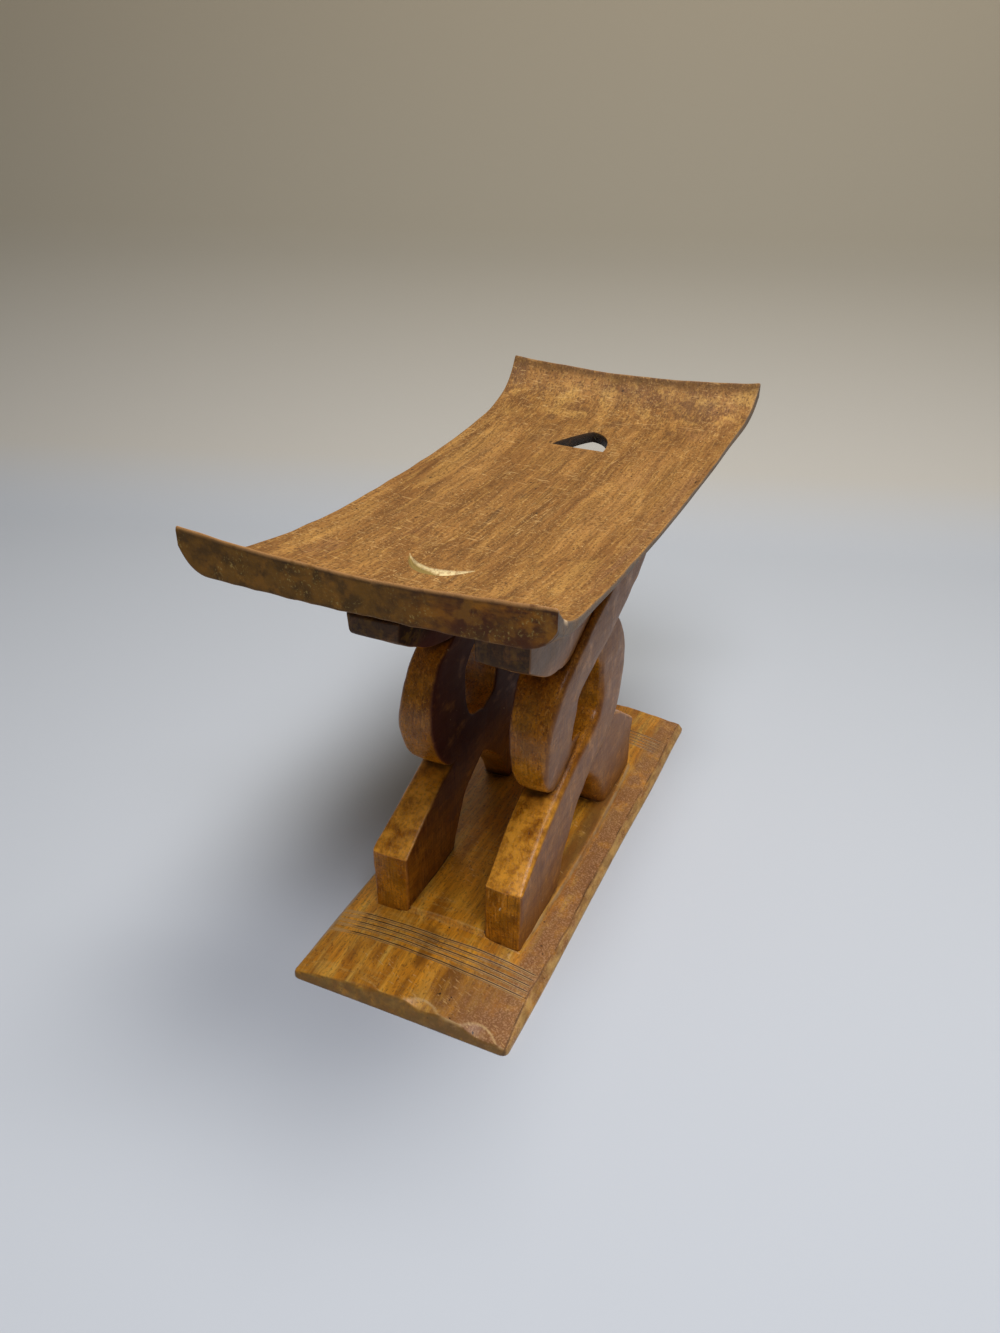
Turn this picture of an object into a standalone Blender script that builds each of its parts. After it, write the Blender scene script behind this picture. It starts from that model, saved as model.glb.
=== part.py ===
# Saddle-seat stool on two interlaced side panels, standing on a plate base.
# Metres, +Z up, +X along the seat. The origin is the centre of the underside of the base.
import math

import bmesh
import bpy
from mathutils import Vector

# Seat
SEAT_LENGTH = 0.500
SEAT_MID_WIDTH = 0.2294
SEAT_FLARE = 0.0062
SEAT_FLARE_POWER = 4
SEAT_LOW_Z = 0.3300
SEAT_RISE = 0.0445
SEAT_SWEEP_SHARE = 0.46
SEAT_SWEEP_POWER = 2.4
SEAT_LIP_POWER = 14.0
SEAT_DISH = 0.0040
SEAT_END_DISH = 0.0065
SEAT_THICKNESS = 0.0190
SEAT_END_THICKNESS = 0.0325
SEAT_UNDER_POWER = 2.0
SEAT_EDGE = 0.0045
SEAT_END_EDGE = 0.0150
SEAT_EDGE_POWER = 8
SEAT_UNDER_ROUNDNESS = 2.0
SEAT_END_ROUNDNESS = 7.0
SEAT_UNDER_FLAT = 0.1500
SEAT_STATIONS = 31

# Carrying hole through the far end of the seat
HOLE_START = 0.1285
HOLE_LENGTH = 0.0400
HOLE_WIDTH = 0.0440
HOLE_OFFSET = 0.0080
HOLE_POINTS = 18
HOLE_FULLNESS_ALONG = 1.8
HOLE_FULLNESS_ACROSS = 0.55

# Base plate with the low platform that carries the feet
BASE_LENGTH = 0.4715
BASE_WIDTH = 0.1830
BASE_CROWN = 0.0190
BASE_EDGE_HEIGHT = 0.0085
BASE_RIM_HEIGHT = 0.0025
BASE_EDGE_RIM_HEIGHT = 0.0020
BASE_SIDE_BEVEL = 0.0060
BASE_END_BEVEL = 0.0072
BASE_END_DROP_SHARE = 0.20
PLATFORM_STEP = 0.0037
PLATFORM_BULGE = 0.0045
PLATFORM_STEPS = 8

# Side panels
PANEL_SHIFT = -0.0128
FOOT_REACH = 0.1380
FOOT_INNER = 0.0340
FOOT_OUTER = 0.0645
TOP_INNER = 0.0270
TOP_OUTER = 0.0700
INNER_LEAN_POWER = 3.0
WEAVE_DEPTH = 0.0090
EDGE_CHAMFER = 0.0030
CURVE_STEPS = 3

# Joints
FIT_GAP = 0.0003
CUT_OVERRUN = 0.0100
TENON_WIDTH = 0.0130
FOOT_TENON_LENGTH = 0.0480
FOOT_TENON_DEPTH = 0.0080
SEAT_TENON_LENGTH = 0.0440
SEAT_TENON_DEPTH = 0.0065
TONGUE_LENGTH = 0.0100
TONGUE_THICKNESS = 0.0060
TONGUE_WIDTH_SHARE = 0.45

# One strand seen from the side, as pairs of points on its upper and lower edges.
# Across: shares of the foot's reach from the middle of the panel. Up: shares of
# the height from the platform to the seat. The far strand is the mirror image.
FOOT_PAIR_SHARES = [
    ((-1.000, -0.039), (-0.430, -0.039)),
    ((-1.000, 0.078), (-0.345, 0.063)),
    ((-1.000, 0.167), (-0.265, 0.131)),
]
WEAVE_PAIR_SHARES = [
    ((-1.000, 0.167), (-0.265, 0.131)),
    ((-0.700, 0.271), (-0.155, 0.184)),
    ((-0.330, 0.344), (0.030, 0.242)),
    ((0.000, 0.388), (0.195, 0.268)),
    ((0.170, 0.411), (0.365, 0.291)),
    ((0.240, 0.470), (0.560, 0.363)),
    ((0.240, 0.528), (0.640, 0.465)),
    ((0.215, 0.576), (0.625, 0.557)),
    ((0.115, 0.628), (0.530, 0.654)),
    ((-0.030, 0.667), (0.385, 0.722)),
    ((-0.235, 0.699), (0.160, 0.780)),
    ((-0.500, 0.733), (-0.110, 0.816)),
    ((-0.760, 0.777), (-0.330, 0.864)),
    ((-1.030, 0.857), (-0.450, 0.925)),
]
TOP_PAIR_SHARES = [
    ((-1.030, 0.857), (-0.450, 0.925)),
    ((-1.030, 1.114), (-0.500, 1.114)),
]
# Where along the weave a strand passes the other one, and where it is spliced
LOW_CROSSING_SHARES = (0.04, 0.52)
HIGH_CROSSING_SHARES = (0.56, 0.98)
SPLICE_PAIR = 10
# How deep a strand lies behind the front face, from foot to top
RECESS_STATION_SHARES = [0.0, 0.22, 0.50, 0.74, 0.96]
OVER_UNDER_SHARES = [0.0, 0.0, 0.45, 1.0, 0.15]
UNDER_OVER_SHARES = [0.0, 1.0, 0.50, 0.0, 0.10]
LAP_SHARE = 0.50

# sRGB colours, roughness, and the angle in degrees above which an edge shows as sharp
SEAT_COLOUR = (0.63, 0.43, 0.24)
LEG_COLOUR = (0.56, 0.34, 0.14)
BASE_COLOUR = (0.60, 0.38, 0.16)
SEAT_ROUGHNESS = 0.55
LEG_ROUGHNESS = 0.32
BASE_ROUGHNESS = 0.42
SHADING_ANGLE = 35.0


def clear_scene():
    for existing in list(bpy.data.objects):
        bpy.data.objects.remove(existing, do_unlink=True)


def to_linear(channel):
    if channel <= 0.04045:
        return channel / 12.92
    return ((channel + 0.055) / 1.055) ** 2.4


def wood(name, colour, roughness):
    material = bpy.data.materials.new(name)
    material.use_nodes = True
    shader = material.node_tree.nodes["Principled BSDF"]
    shader.inputs["Base Color"].default_value = [to_linear(channel) for channel in colour] + [1.0]
    shader.inputs["Roughness"].default_value = roughness
    shader.inputs["Metallic"].default_value = 0.0
    return material


def lerp(start, end, share):
    return start + (end - start) * share


def table_value(stations, values, station):
    # Eased runs between the rows of a table, held flat past its ends
    if station <= stations[0]:
        return values[0]
    for index in range(1, len(stations)):
        if station <= stations[index]:
            share = (station - stations[index - 1]) / (stations[index] - stations[index - 1])
            smooth = share * share * (3.0 - 2.0 * share)
            return lerp(values[index - 1], values[index], smooth)
    return values[-1]


def make_object(name, points, faces, material=None):
    mesh = bpy.data.meshes.new(name)
    shape = bmesh.new()
    corners = [shape.verts.new(point) for point in points]
    for face in faces:
        shape.faces.new([corners[index] for index in face])
    bmesh.ops.recalc_face_normals(shape, faces=shape.faces)
    shape.to_mesh(mesh)
    shape.free()
    item = bpy.data.objects.new(name, mesh)
    bpy.context.collection.objects.link(item)
    if material is None:
        item.hide_render = True
        item.display_type = "WIRE"
    else:
        mesh.materials.append(material)
        mesh.shade_smooth()
        mesh.set_sharp_from_angle(angle=math.radians(SHADING_ANGLE))
    return item


def loft(name, rings, material=None):
    # Closed skin over rings of equal count, with a flat face at each end
    count = len(rings[0])
    points = [point for ring in rings for point in ring]
    faces = [tuple(range(count)), tuple(range(len(points) - count, len(points)))]
    for row in range(len(rings) - 1):
        for column in range(count):
            following = (column + 1) % count
            first = row * count
            faces.append((first + column, first + following,
                          first + count + following, first + count + column))
    return make_object(name, points, faces, material)


def block(name, low, high):
    ends = [[(x, low[1], low[2]), (x, high[1], low[2]), (x, high[1], high[2]), (x, low[1], high[2])]
            for x in (low[0], high[0])]
    return loft(name, ends)


def combine(item, tool, operation):
    modifier = item.modifiers.new(operation.lower() + "_" + tool.name, "BOOLEAN")
    modifier.operation = operation
    modifier.solver = "EXACT"
    modifier.object = tool


# Seat surface


def seat_share(x):
    return min(abs(x) / (SEAT_LENGTH / 2), 1.0)


def seat_half_width(x):
    return SEAT_MID_WIDTH / 2 + SEAT_FLARE * seat_share(x) ** SEAT_FLARE_POWER


def seat_edge_z(x):
    share = seat_share(x)
    sweep = SEAT_SWEEP_SHARE * share ** SEAT_SWEEP_POWER
    lip = (1.0 - SEAT_SWEEP_SHARE) * share ** SEAT_LIP_POWER
    return SEAT_LOW_Z + SEAT_RISE * (sweep + lip)


def seat_under_z(x):
    low = SEAT_LOW_Z - SEAT_THICKNESS
    high = SEAT_LOW_Z + SEAT_RISE - SEAT_END_THICKNESS
    return lerp(low, high, seat_share(x) ** SEAT_UNDER_POWER)


def seat_stations():
    middle = (SEAT_STATIONS - 1) / 2
    turns = [math.pi / 2 * (index - middle) / middle for index in range(SEAT_STATIONS)]
    return [SEAT_LENGTH / 2 * math.sin(turn) for turn in turns]


def seat_ring(x):
    half = seat_half_width(x)
    edge_z = seat_edge_z(x)
    dish = lerp(SEAT_DISH, SEAT_END_DISH, seat_share(x) ** SEAT_FLARE_POWER)
    top_shares = [-1.0, -0.75, -0.5, -0.25, 0.0, 0.25, 0.5, 0.75, 1.0]
    top = [(x, half * share, edge_z - dish * (1.0 - share * share)) for share in top_shares]
    edge_low = edge_z - lerp(SEAT_EDGE, SEAT_END_EDGE, seat_share(x) ** SEAT_EDGE_POWER)
    under = seat_under_z(x)
    roundness = lerp(SEAT_UNDER_ROUNDNESS, SEAT_END_ROUNDNESS, seat_share(x) ** SEAT_EDGE_POWER)
    slope_shares = [1.0, 0.93, 0.82, 0.66, 0.40, 0.0]
    slope = []
    for share in slope_shares:
        y = lerp(SEAT_UNDER_FLAT / 2, half, share)
        slope.append((y, lerp(under, edge_low, share ** roundness)))
    left = [(x, y, z) for y, z in slope]
    right = [(x, -y, z) for y, z in reversed(slope)]
    return top + left + right


def hole_cutter():
    bottom = SEAT_LOW_Z - SEAT_THICKNESS - CUT_OVERRUN
    top = SEAT_LOW_Z + SEAT_RISE + CUT_OVERRUN
    outline = []
    for index in range(HOLE_POINTS + 1):
        turn = lerp(-math.pi / 2, math.pi / 2, index / HOLE_POINTS)
        along = math.cos(turn)
        across = (1.0 - along ** HOLE_FULLNESS_ALONG) ** HOLE_FULLNESS_ACROSS
        outline.append((HOLE_START + HOLE_LENGTH * along,
                        HOLE_OFFSET + math.copysign(across, turn) * HOLE_WIDTH / 2))
    return loft("hole_cutter", [[(x, y, z) for x, y in outline] for z in (bottom, top)])


def seat_body(material):
    seat = loft("seat", [seat_ring(x) for x in seat_stations()], material)
    combine(seat, hole_cutter(), "DIFFERENCE")
    return seat


def space_above_seat_underside():
    # Everything from just under the seat upwards, to trim the strands' tops
    reach = SEAT_MID_WIDTH
    top = SEAT_LOW_Z + SEAT_RISE + CUT_OVERRUN
    rings = []
    for x in seat_stations():
        low = seat_under_z(x) - FIT_GAP
        rings.append([(x, -reach, low), (x, reach, low), (x, reach, top), (x, -reach, top)])
    return loft("seat_clearance", rings)


# Base surface


def dome_half_width():
    return BASE_WIDTH / 2 - BASE_SIDE_BEVEL


def dome_z(y):
    share = min(abs(y) / dome_half_width(), 1.0)
    return BASE_EDGE_HEIGHT + (BASE_CROWN - BASE_EDGE_HEIGHT) * (1.0 - share * share)


def platform_z(y):
    return dome_z(y) + PLATFORM_STEP


def base_ring(x, height_share):
    half = BASE_WIDTH / 2
    dome_shares = [-1.0, -0.8, -0.6, -0.4, -0.2, 0.0, 0.2, 0.4, 0.6, 0.8, 1.0]
    dome = [(x, dome_half_width() * share,
             max(dome_z(dome_half_width() * share) * height_share, BASE_RIM_HEIGHT))
            for share in dome_shares]
    rim = [(x, half, BASE_EDGE_RIM_HEIGHT), (x, half, 0.0), (x, -half, 0.0),
           (x, -half, BASE_EDGE_RIM_HEIGHT)]
    return dome + rim


def platform_ring(along_share, x, lift):
    half = FOOT_OUTER + PLATFORM_BULGE * (1.0 - along_share ** 2)
    ys = [lerp(-half, half, index / PLATFORM_STEPS) for index in range(PLATFORM_STEPS + 1)]
    crown = [(x, y, platform_z(y) + lift) for y in ys]
    return crown + [(x, half, BASE_RIM_HEIGHT), (x, -half, BASE_RIM_HEIGHT)]


def platform_body(name, lift, overrun):
    # A bar from foot to foot, swelling a little between them, whose top follows the dome
    shares = [lerp(-1.0, 1.0, index / PLATFORM_STEPS) for index in range(PLATFORM_STEPS + 1)]
    rings = [platform_ring(share, PANEL_SHIFT + FOOT_REACH * share, lift) for share in shares]
    if overrun > 0.0:
        rings.insert(0, platform_ring(-1.0, PANEL_SHIFT - FOOT_REACH - overrun, lift))
        rings.append(platform_ring(1.0, PANEL_SHIFT + FOOT_REACH + overrun, lift))
    return loft(name, rings)


def base_body(material):
    half = BASE_LENGTH / 2
    top_end = half - BASE_END_BEVEL
    level = FOOT_REACH - PANEL_SHIFT
    shares = [0.0, 0.5, 1.0]
    taper = [(lerp(level, top_end, share), 1.0 - BASE_END_DROP_SHARE * share) for share in shares]
    ends = taper + [(half, 0.0)]
    stations = [(-x, height) for x, height in reversed(ends)] + ends
    rings = [base_ring(x, height) for x, height in stations]
    base = loft("base", rings, material)
    combine(base, platform_body("platform", 0.0, 0.0), "UNION")
    return base


# Strands of the side panels


def panel_height():
    return SEAT_LOW_Z - SEAT_THICKNESS - platform_z(0.0)


def catmull(before, start, end, after, share):
    result = []
    for a, b, c, d in zip(before, start, end, after):
        linear = (c - a) * share
        square = (2 * a - 5 * b + 4 * c - d) * share ** 2
        cube = (3 * b - a - 3 * c + d) * share ** 3
        result.append((2 * b + linear + square + cube) / 2)
    return result


def weave_rungs():
    # Pairs of points (upper x, upper z, lower x, lower z), with their place along the weave
    rows = [[value for point in pair for value in point] for pair in WEAVE_PAIR_SHARES]
    last = len(rows) - 1
    rungs = []
    for index in range(last):
        before = rows[max(index - 1, 0)]
        after = rows[min(index + 2, last)]
        for step in range(CURVE_STEPS):
            place = (index + step / CURVE_STEPS) / last
            rungs.append((place, catmull(before, rows[index], rows[index + 1], after,
                                         step / CURVE_STEPS)))
    rungs.append((1.0, rows[last]))
    return rungs


def strand_rungs():
    foot = [(0.0, [value for point in pair for value in point]) for pair in FOOT_PAIR_SHARES[:-1]]
    top = [(1.0, [value for point in pair for value in point]) for pair in TOP_PAIR_SHARES[1:]]
    return foot + weave_rungs() + top


def face_y(height_share, place, recess_shares):
    clamped = min(max(height_share, 0.0), 1.0)
    front = lerp(FOOT_OUTER, TOP_OUTER, clamped)
    return front - WEAVE_DEPTH * table_value(RECESS_STATION_SHARES, recess_shares, place)


def back_y(height_share):
    clamped = min(max(height_share, 0.0), 1.0)
    return lerp(FOOT_INNER, TOP_INNER, clamped ** INNER_LEAN_POWER)


def place_share(point_share, facing):
    x = PANEL_SHIFT + facing * FOOT_REACH * point_share[0]
    z = platform_z(0.0) + panel_height() * point_share[1]
    return x, z


def strand_ring(place, rung, facing, side, recess_shares):
    upper = rung[0:2]
    lower = rung[2:4]
    upper_x, upper_z = place_share(upper, facing)
    lower_x, lower_z = place_share(lower, facing)
    rung_length = math.hypot(lower_x - upper_x, lower_z - upper_z)
    ring = []
    for share, chamfered in ((0.0, True), (EDGE_CHAMFER / rung_length, False),
                             (1.0 - EDGE_CHAMFER / rung_length, False), (1.0, True)):
        x = lerp(upper_x, lower_x, share)
        z = lerp(upper_z, lower_z, share)
        height_share = lerp(upper[1], lower[1], share)
        inset = EDGE_CHAMFER if chamfered else 0.0
        ring.append((x, z, face_y(height_share, place, recess_shares) - inset,
                     back_y(height_share) + inset))
    front = [(x, side * outer, z) for x, z, outer, inner in ring]
    back = [(x, side * inner, z) for x, z, outer, inner in reversed(ring)]
    return front + back


def splice_place():
    return SPLICE_PAIR / (len(WEAVE_PAIR_SHARES) - 1)


def strand_rings(facing, side, recess_shares, start=0.0, end=1.0):
    kept = [(place, rung) for place, rung in strand_rungs() if start <= place <= end]
    return [strand_ring(place, rung, facing, side, recess_shares) for place, rung in kept]


def shifted_ring(ring, following, distance):
    # The same ring, moved along the strand towards the next one
    moved = []
    for point, ahead in zip(ring, following):
        step = (Vector(ahead) - Vector(point)).normalized() * distance
        moved.append(tuple(Vector(point) + step))
    return moved


def widened(rung, facing, margin):
    upper = Vector(place_share(rung[0:2], facing))
    lower = Vector(place_share(rung[2:4], facing))
    across = (lower - upper).normalized() * margin
    return upper - across, lower + across


def lap_plane(crossing_shares):
    middle = (crossing_shares[0] + crossing_shares[1]) / 2
    place, rung = min(weave_rungs(), key=lambda entry: abs(entry[0] - middle))
    height_share = (rung[1] + rung[3]) / 2
    buried_face = face_y(height_share, 0.0, OVER_UNDER_SHARES) - WEAVE_DEPTH
    return lerp(back_y(height_share), buried_face, LAP_SHARE)


def lap_cutter(name, facing, side, crossing_shares, keep_front):
    # The space that the other strand takes at a crossing, on the half this strand gives up
    plane = lap_plane(crossing_shares)
    if keep_front:
        inner, outer = 0.0, plane + FIT_GAP / 2
    else:
        inner, outer = plane - FIT_GAP / 2, TOP_OUTER + CUT_OVERRUN
    rings = []
    for place, rung in weave_rungs():
        if crossing_shares[0] <= place <= crossing_shares[1]:
            upper, lower = widened(rung, facing, FIT_GAP)
            rings.append([(upper.x, side * inner, upper.y), (lower.x, side * inner, lower.y),
                          (lower.x, side * outer, lower.y), (upper.x, side * outer, upper.y)])
    return loft(name, rings)


def foot_middle(facing):
    shares = FOOT_PAIR_SHARES[0]
    return PANEL_SHIFT + facing * FOOT_REACH * (shares[0][0] + shares[1][0]) / 2


def top_middle(facing):
    shares = TOP_PAIR_SHARES[0]
    return PANEL_SHIFT + facing * FOOT_REACH * (shares[0][0] + shares[1][0]) / 2


def tenon(name, middle, length, side, inner, outer, low, high, slack):
    centre = side * (inner + outer) / 2
    half_length = length / 2 + slack
    half_width = TENON_WIDTH / 2 + slack
    return block(name, (middle - half_length, centre - half_width, low),
                 (middle + half_length, centre + half_width, high))


def foot_tenon(name, facing, side, slack):
    low = platform_z(FOOT_OUTER) - FOOT_TENON_DEPTH - slack
    high = platform_z(0.0) + (CUT_OVERRUN if slack > 0.0 else FOOT_TENON_DEPTH)
    return tenon(name, foot_middle(facing), FOOT_TENON_LENGTH, side, FOOT_INNER, FOOT_OUTER,
                 low, high, slack)


def seat_tenon(name, facing, side, slack):
    under = seat_under_z(top_middle(facing))
    low = under - (CUT_OVERRUN if slack > 0.0 else SEAT_TENON_DEPTH)
    high = under + SEAT_TENON_DEPTH + slack
    return tenon(name, top_middle(facing), SEAT_TENON_LENGTH, side, TOP_INNER, TOP_OUTER,
                 low, high, slack)


def tongue(name, side, slack):
    # Flat tongue of the bracket, let into the end of the front strand at the splice
    splice = min(weave_rungs(), key=lambda entry: abs(entry[0] - splice_place()))[1]
    upper = Vector(place_share(splice[0:2], 1))
    lower = Vector(place_share(splice[2:4], 1))
    across = (lower - upper).normalized()
    along = Vector((across.y, -across.x))
    middle = (upper + lower) / 2
    half_width = (lower - upper).length * TONGUE_WIDTH_SHARE / 2 + slack
    height_share = (splice[1] + splice[3]) / 2
    centre = (back_y(height_share) + lap_plane(HIGH_CROSSING_SHARES)) / 2
    half_thickness = TONGUE_THICKNESS / 2 + slack
    reach = TONGUE_LENGTH + slack
    corners = [middle + along * forward + across * sideways
               for forward, sideways in ((-reach, -half_width), (reach, -half_width),
                                         (reach, half_width), (-reach, half_width))]
    return loft(name, [[(corner.x, side * (centre + offset), corner.y) for corner in corners]
                       for offset in (-half_thickness, half_thickness)])


def front_strand(name, side, material, foot_clearance):
    # From the front foot, over the back strand, round the back of the eye to the splice
    item = loft(name, strand_rings(1, side, OVER_UNDER_SHARES, end=splice_place()), material)
    combine(item, foot_clearance, "DIFFERENCE")
    combine(item, foot_tenon(name + "_foot_tenon", 1, side, 0.0), "UNION")
    combine(item, lap_cutter(name + "_low_lap", -1, side, LOW_CROSSING_SHARES, True), "DIFFERENCE")
    combine(item, lap_cutter(name + "_high_lap", -1, side, HIGH_CROSSING_SHARES, False), "DIFFERENCE")
    combine(item, tongue(name + "_tongue_slot", side, FIT_GAP), "DIFFERENCE")
    return item


def front_bracket(name, side, material, seat_clearance):
    # From the splice behind the back strand, forward and up under the seat
    rings = strand_rings(1, side, OVER_UNDER_SHARES, start=splice_place())
    rings[0] = shifted_ring(rings[0], rings[1], FIT_GAP)
    item = loft(name, rings, material)
    combine(item, seat_clearance, "DIFFERENCE")
    combine(item, seat_tenon(name + "_seat_tenon", 1, side, 0.0), "UNION")
    combine(item, lap_cutter(name + "_high_lap", -1, side, HIGH_CROSSING_SHARES, False), "DIFFERENCE")
    combine(item, tongue(name + "_tongue", side, 0.0), "UNION")
    return item


def back_strand(name, side, material, foot_clearance, seat_clearance):
    # From the back foot, under the front strand, round the front of the eye to the seat
    item = loft(name, strand_rings(-1, side, UNDER_OVER_SHARES), material)
    combine(item, foot_clearance, "DIFFERENCE")
    combine(item, seat_clearance, "DIFFERENCE")
    combine(item, foot_tenon(name + "_foot_tenon", -1, side, 0.0), "UNION")
    combine(item, seat_tenon(name + "_seat_tenon", -1, side, 0.0), "UNION")
    combine(item, lap_cutter(name + "_low_lap", 1, side, LOW_CROSSING_SHARES, False), "DIFFERENCE")
    combine(item, lap_cutter(name + "_high_lap", 1, side, HIGH_CROSSING_SHARES, True), "DIFFERENCE")
    return item


def main():
    clear_scene()
    seat_wood = wood("seat_wood", SEAT_COLOUR, SEAT_ROUGHNESS)
    leg_wood = wood("leg_wood", LEG_COLOUR, LEG_ROUGHNESS)
    base_wood = wood("base_wood", BASE_COLOUR, BASE_ROUGHNESS)
    seat = seat_body(seat_wood)
    base = base_body(base_wood)
    seat_clearance = space_above_seat_underside()
    foot_clearance = platform_body("foot_clearance", FIT_GAP, CUT_OVERRUN)
    for hand, side in (("right", -1), ("left", 1)):
        front_strand(hand + "_front_strand", side, leg_wood, foot_clearance)
        front_bracket(hand + "_front_bracket", side, leg_wood, seat_clearance)
        back_strand(hand + "_back_strand", side, leg_wood, foot_clearance, seat_clearance)
        for end, facing in (("front", 1), ("back", -1)):
            mortise_name = hand + "_" + end
            combine(base, foot_tenon(mortise_name + "_foot_mortise", facing, side, FIT_GAP), "DIFFERENCE")
            combine(seat, seat_tenon(mortise_name + "_seat_mortise", facing, side, FIT_GAP), "DIFFERENCE")


main()
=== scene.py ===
import math

import bpy
import numpy as np
from mathutils import Matrix, Vector
from mathutils.bvhtree import BVHTree


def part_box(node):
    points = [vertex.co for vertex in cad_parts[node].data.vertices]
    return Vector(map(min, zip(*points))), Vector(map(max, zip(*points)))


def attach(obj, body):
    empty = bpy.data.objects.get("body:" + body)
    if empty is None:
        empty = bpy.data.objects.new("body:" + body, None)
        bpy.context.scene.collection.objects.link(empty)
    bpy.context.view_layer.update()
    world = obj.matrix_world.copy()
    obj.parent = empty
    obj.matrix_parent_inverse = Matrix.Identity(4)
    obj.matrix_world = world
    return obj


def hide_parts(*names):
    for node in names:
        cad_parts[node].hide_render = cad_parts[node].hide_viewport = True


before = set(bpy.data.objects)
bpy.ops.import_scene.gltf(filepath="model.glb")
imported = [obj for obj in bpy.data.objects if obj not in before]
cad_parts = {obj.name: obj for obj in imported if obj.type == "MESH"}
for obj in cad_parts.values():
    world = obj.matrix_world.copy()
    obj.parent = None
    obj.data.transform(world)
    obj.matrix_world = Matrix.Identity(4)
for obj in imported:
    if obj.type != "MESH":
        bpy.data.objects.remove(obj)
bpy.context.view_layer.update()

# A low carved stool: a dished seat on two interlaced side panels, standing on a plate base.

mm = 0.001


# Small tools for shapes


def between(value, low, high):
    # 0 at low and 1 at high, whichever of them is the larger number
    return np.clip((value - low) / (high - low), 0.0, 1.0)


def eased(value, low, high):
    share = between(value, low, high)
    return share * share * (3.0 - 2.0 * share)


def steps(start, *runs):
    # Places along a line, in runs of (spacing, end) that follow on from each other
    places = []
    for spacing, end in runs:
        places += np.linspace(start, end, max(round((end - start) / spacing), 1) + 1)[:-1].tolist()
        start = end
    return np.array(places + [start])


def swell(x, y, z, length, seed):
    # Slow, even unevenness from a few crossing waves, about -1 to 1
    random = np.random.RandomState(seed)
    total = np.zeros(np.broadcast(x, y, z).shape)
    count = 7
    for wave in range(count):
        direction = random.normal(size=3)
        direction /= np.linalg.norm(direction)
        pitch = 2.0 * math.pi / (length * random.uniform(0.7, 1.4))
        total += np.sin((x * direction[0] + y * direction[1] + z * direction[2]) * pitch
                        + random.uniform(0.0, 2.0 * math.pi))
    return total / math.sqrt(count)


def unevenness(x, y, waves):
    # What a hand leaves on a surface or an outline: waves of (length, height, seed)
    return sum(swell(x, y, 0.0, length, seed) * height for length, height, seed in waves)


def scoops(along, across, length, width, seed):
    # Shallow cuts of a curved blade, side by side: 0 in the middle of a cut, 1 on a ridge
    random = np.random.RandomState(seed)
    jitter = random.uniform(-0.32, 0.32, (64, 64, 2))
    u = along / length
    v = across / width
    column = np.floor(u).astype(int)
    row = np.floor(v).astype(int)
    nearest = np.full(np.broadcast(u, v).shape, 9.0)
    for stepU in (-1, 0, 1):
        for stepV in (-1, 0, 1):
            shift = jitter[(column + stepU) % 64, (row + stepV) % 64]
            du = u - (column + stepU + 0.5 + shift[..., 0])
            dv = v - (row + stepV + 0.5 + shift[..., 1])
            nearest = np.minimum(nearest, du * du + dv * dv)
    return np.clip(nearest * 2.0, 0.0, 1.0)


def makePiece(name, points, faces):
    mesh = bpy.data.meshes.new(name)
    mesh.from_pydata(points.reshape(-1, 3).tolist(), [], faces)
    mesh.validate()
    mesh.shade_smooth()
    piece = bpy.data.objects.new(name, mesh)
    bpy.context.scene.collection.objects.link(piece)
    return piece


def outwards(piece):
    # Turns the faces of a closed piece outwards
    mesh = piece.data
    mesh.calc_loop_triangles()
    corners = readSkin(mesh)[0]
    triangles = np.zeros(len(mesh.loop_triangles) * 3, dtype=int)
    mesh.loop_triangles.foreach_get("vertices", triangles)
    p, q, r = (corners[column] for column in triangles.reshape(-1, 3).T)
    if np.einsum("ij,ij->i", p, np.cross(q, r)).sum() < 0.0:
        mesh.flip_normals()
    return piece


def slab(name, x, y, top, bottom, wallRows):
    # A closed slab between two height fields on one plan grid, with upright walls round its rim
    rows, columns = x.shape
    upper = np.stack([x, y, top], axis=-1).reshape(-1, 3)
    lower = np.stack([x, y, bottom], axis=-1).reshape(-1, 3)
    grid = np.arange(rows * columns).reshape(rows, columns)
    a, b, c, d = (part.ravel() for part in (grid[:-1, :-1], grid[1:, :-1], grid[1:, 1:], grid[:-1, 1:]))
    faces = np.stack([a, b, c, d], axis=-1).tolist()
    offset = rows * columns
    faces += (np.stack([d, c, b, a], axis=-1) + offset).tolist()
    rim = np.concatenate([grid[:, 0], grid[-1, 1:], grid[-2::-1, -1], grid[0, -2:0:-1]])
    walls = [lower[rim] + (upper[rim] - lower[rim]) * row / wallRows for row in range(1, wallRows)]
    points = np.concatenate([upper, lower] + walls)
    levels = [rim + offset]
    levels += [2 * offset + row * len(rim) + np.arange(len(rim)) for row in range(wallRows - 1)]
    levels += [rim]
    for below, above in zip(levels[:-1], levels[1:]):
        faces += np.stack([below, np.roll(below, -1), np.roll(above, -1), above], axis=-1).tolist()
    return outwards(makePiece(name, points, faces))


def sleeve(name, rings):
    # A closed skin over rings of points, with a flat face at each end
    count = rings.shape[1]
    grid = np.arange(rings.shape[0] * count).reshape(-1, count)
    near, far = grid[:-1], grid[1:]
    sides = np.stack([near, np.roll(near, -1, axis=1), np.roll(far, -1, axis=1), far], axis=-1)
    faces = sides.reshape(-1, 4).tolist() + [grid[0, ::-1].tolist(), grid[-1].tolist()]
    return outwards(makePiece(name, rings, faces))


def cutAway(piece, cutter):
    modifier = piece.modifiers.new("cut", "BOOLEAN")
    modifier.operation = "DIFFERENCE"
    modifier.solver = "EXACT"
    modifier.object = cutter
    evaluated = piece.evaluated_get(bpy.context.evaluated_depsgraph_get())
    mesh = bpy.data.meshes.new_from_object(evaluated)
    piece.modifiers.remove(modifier)
    piece.data = mesh
    bpy.data.objects.remove(cutter)
    mesh.shade_smooth()


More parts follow.
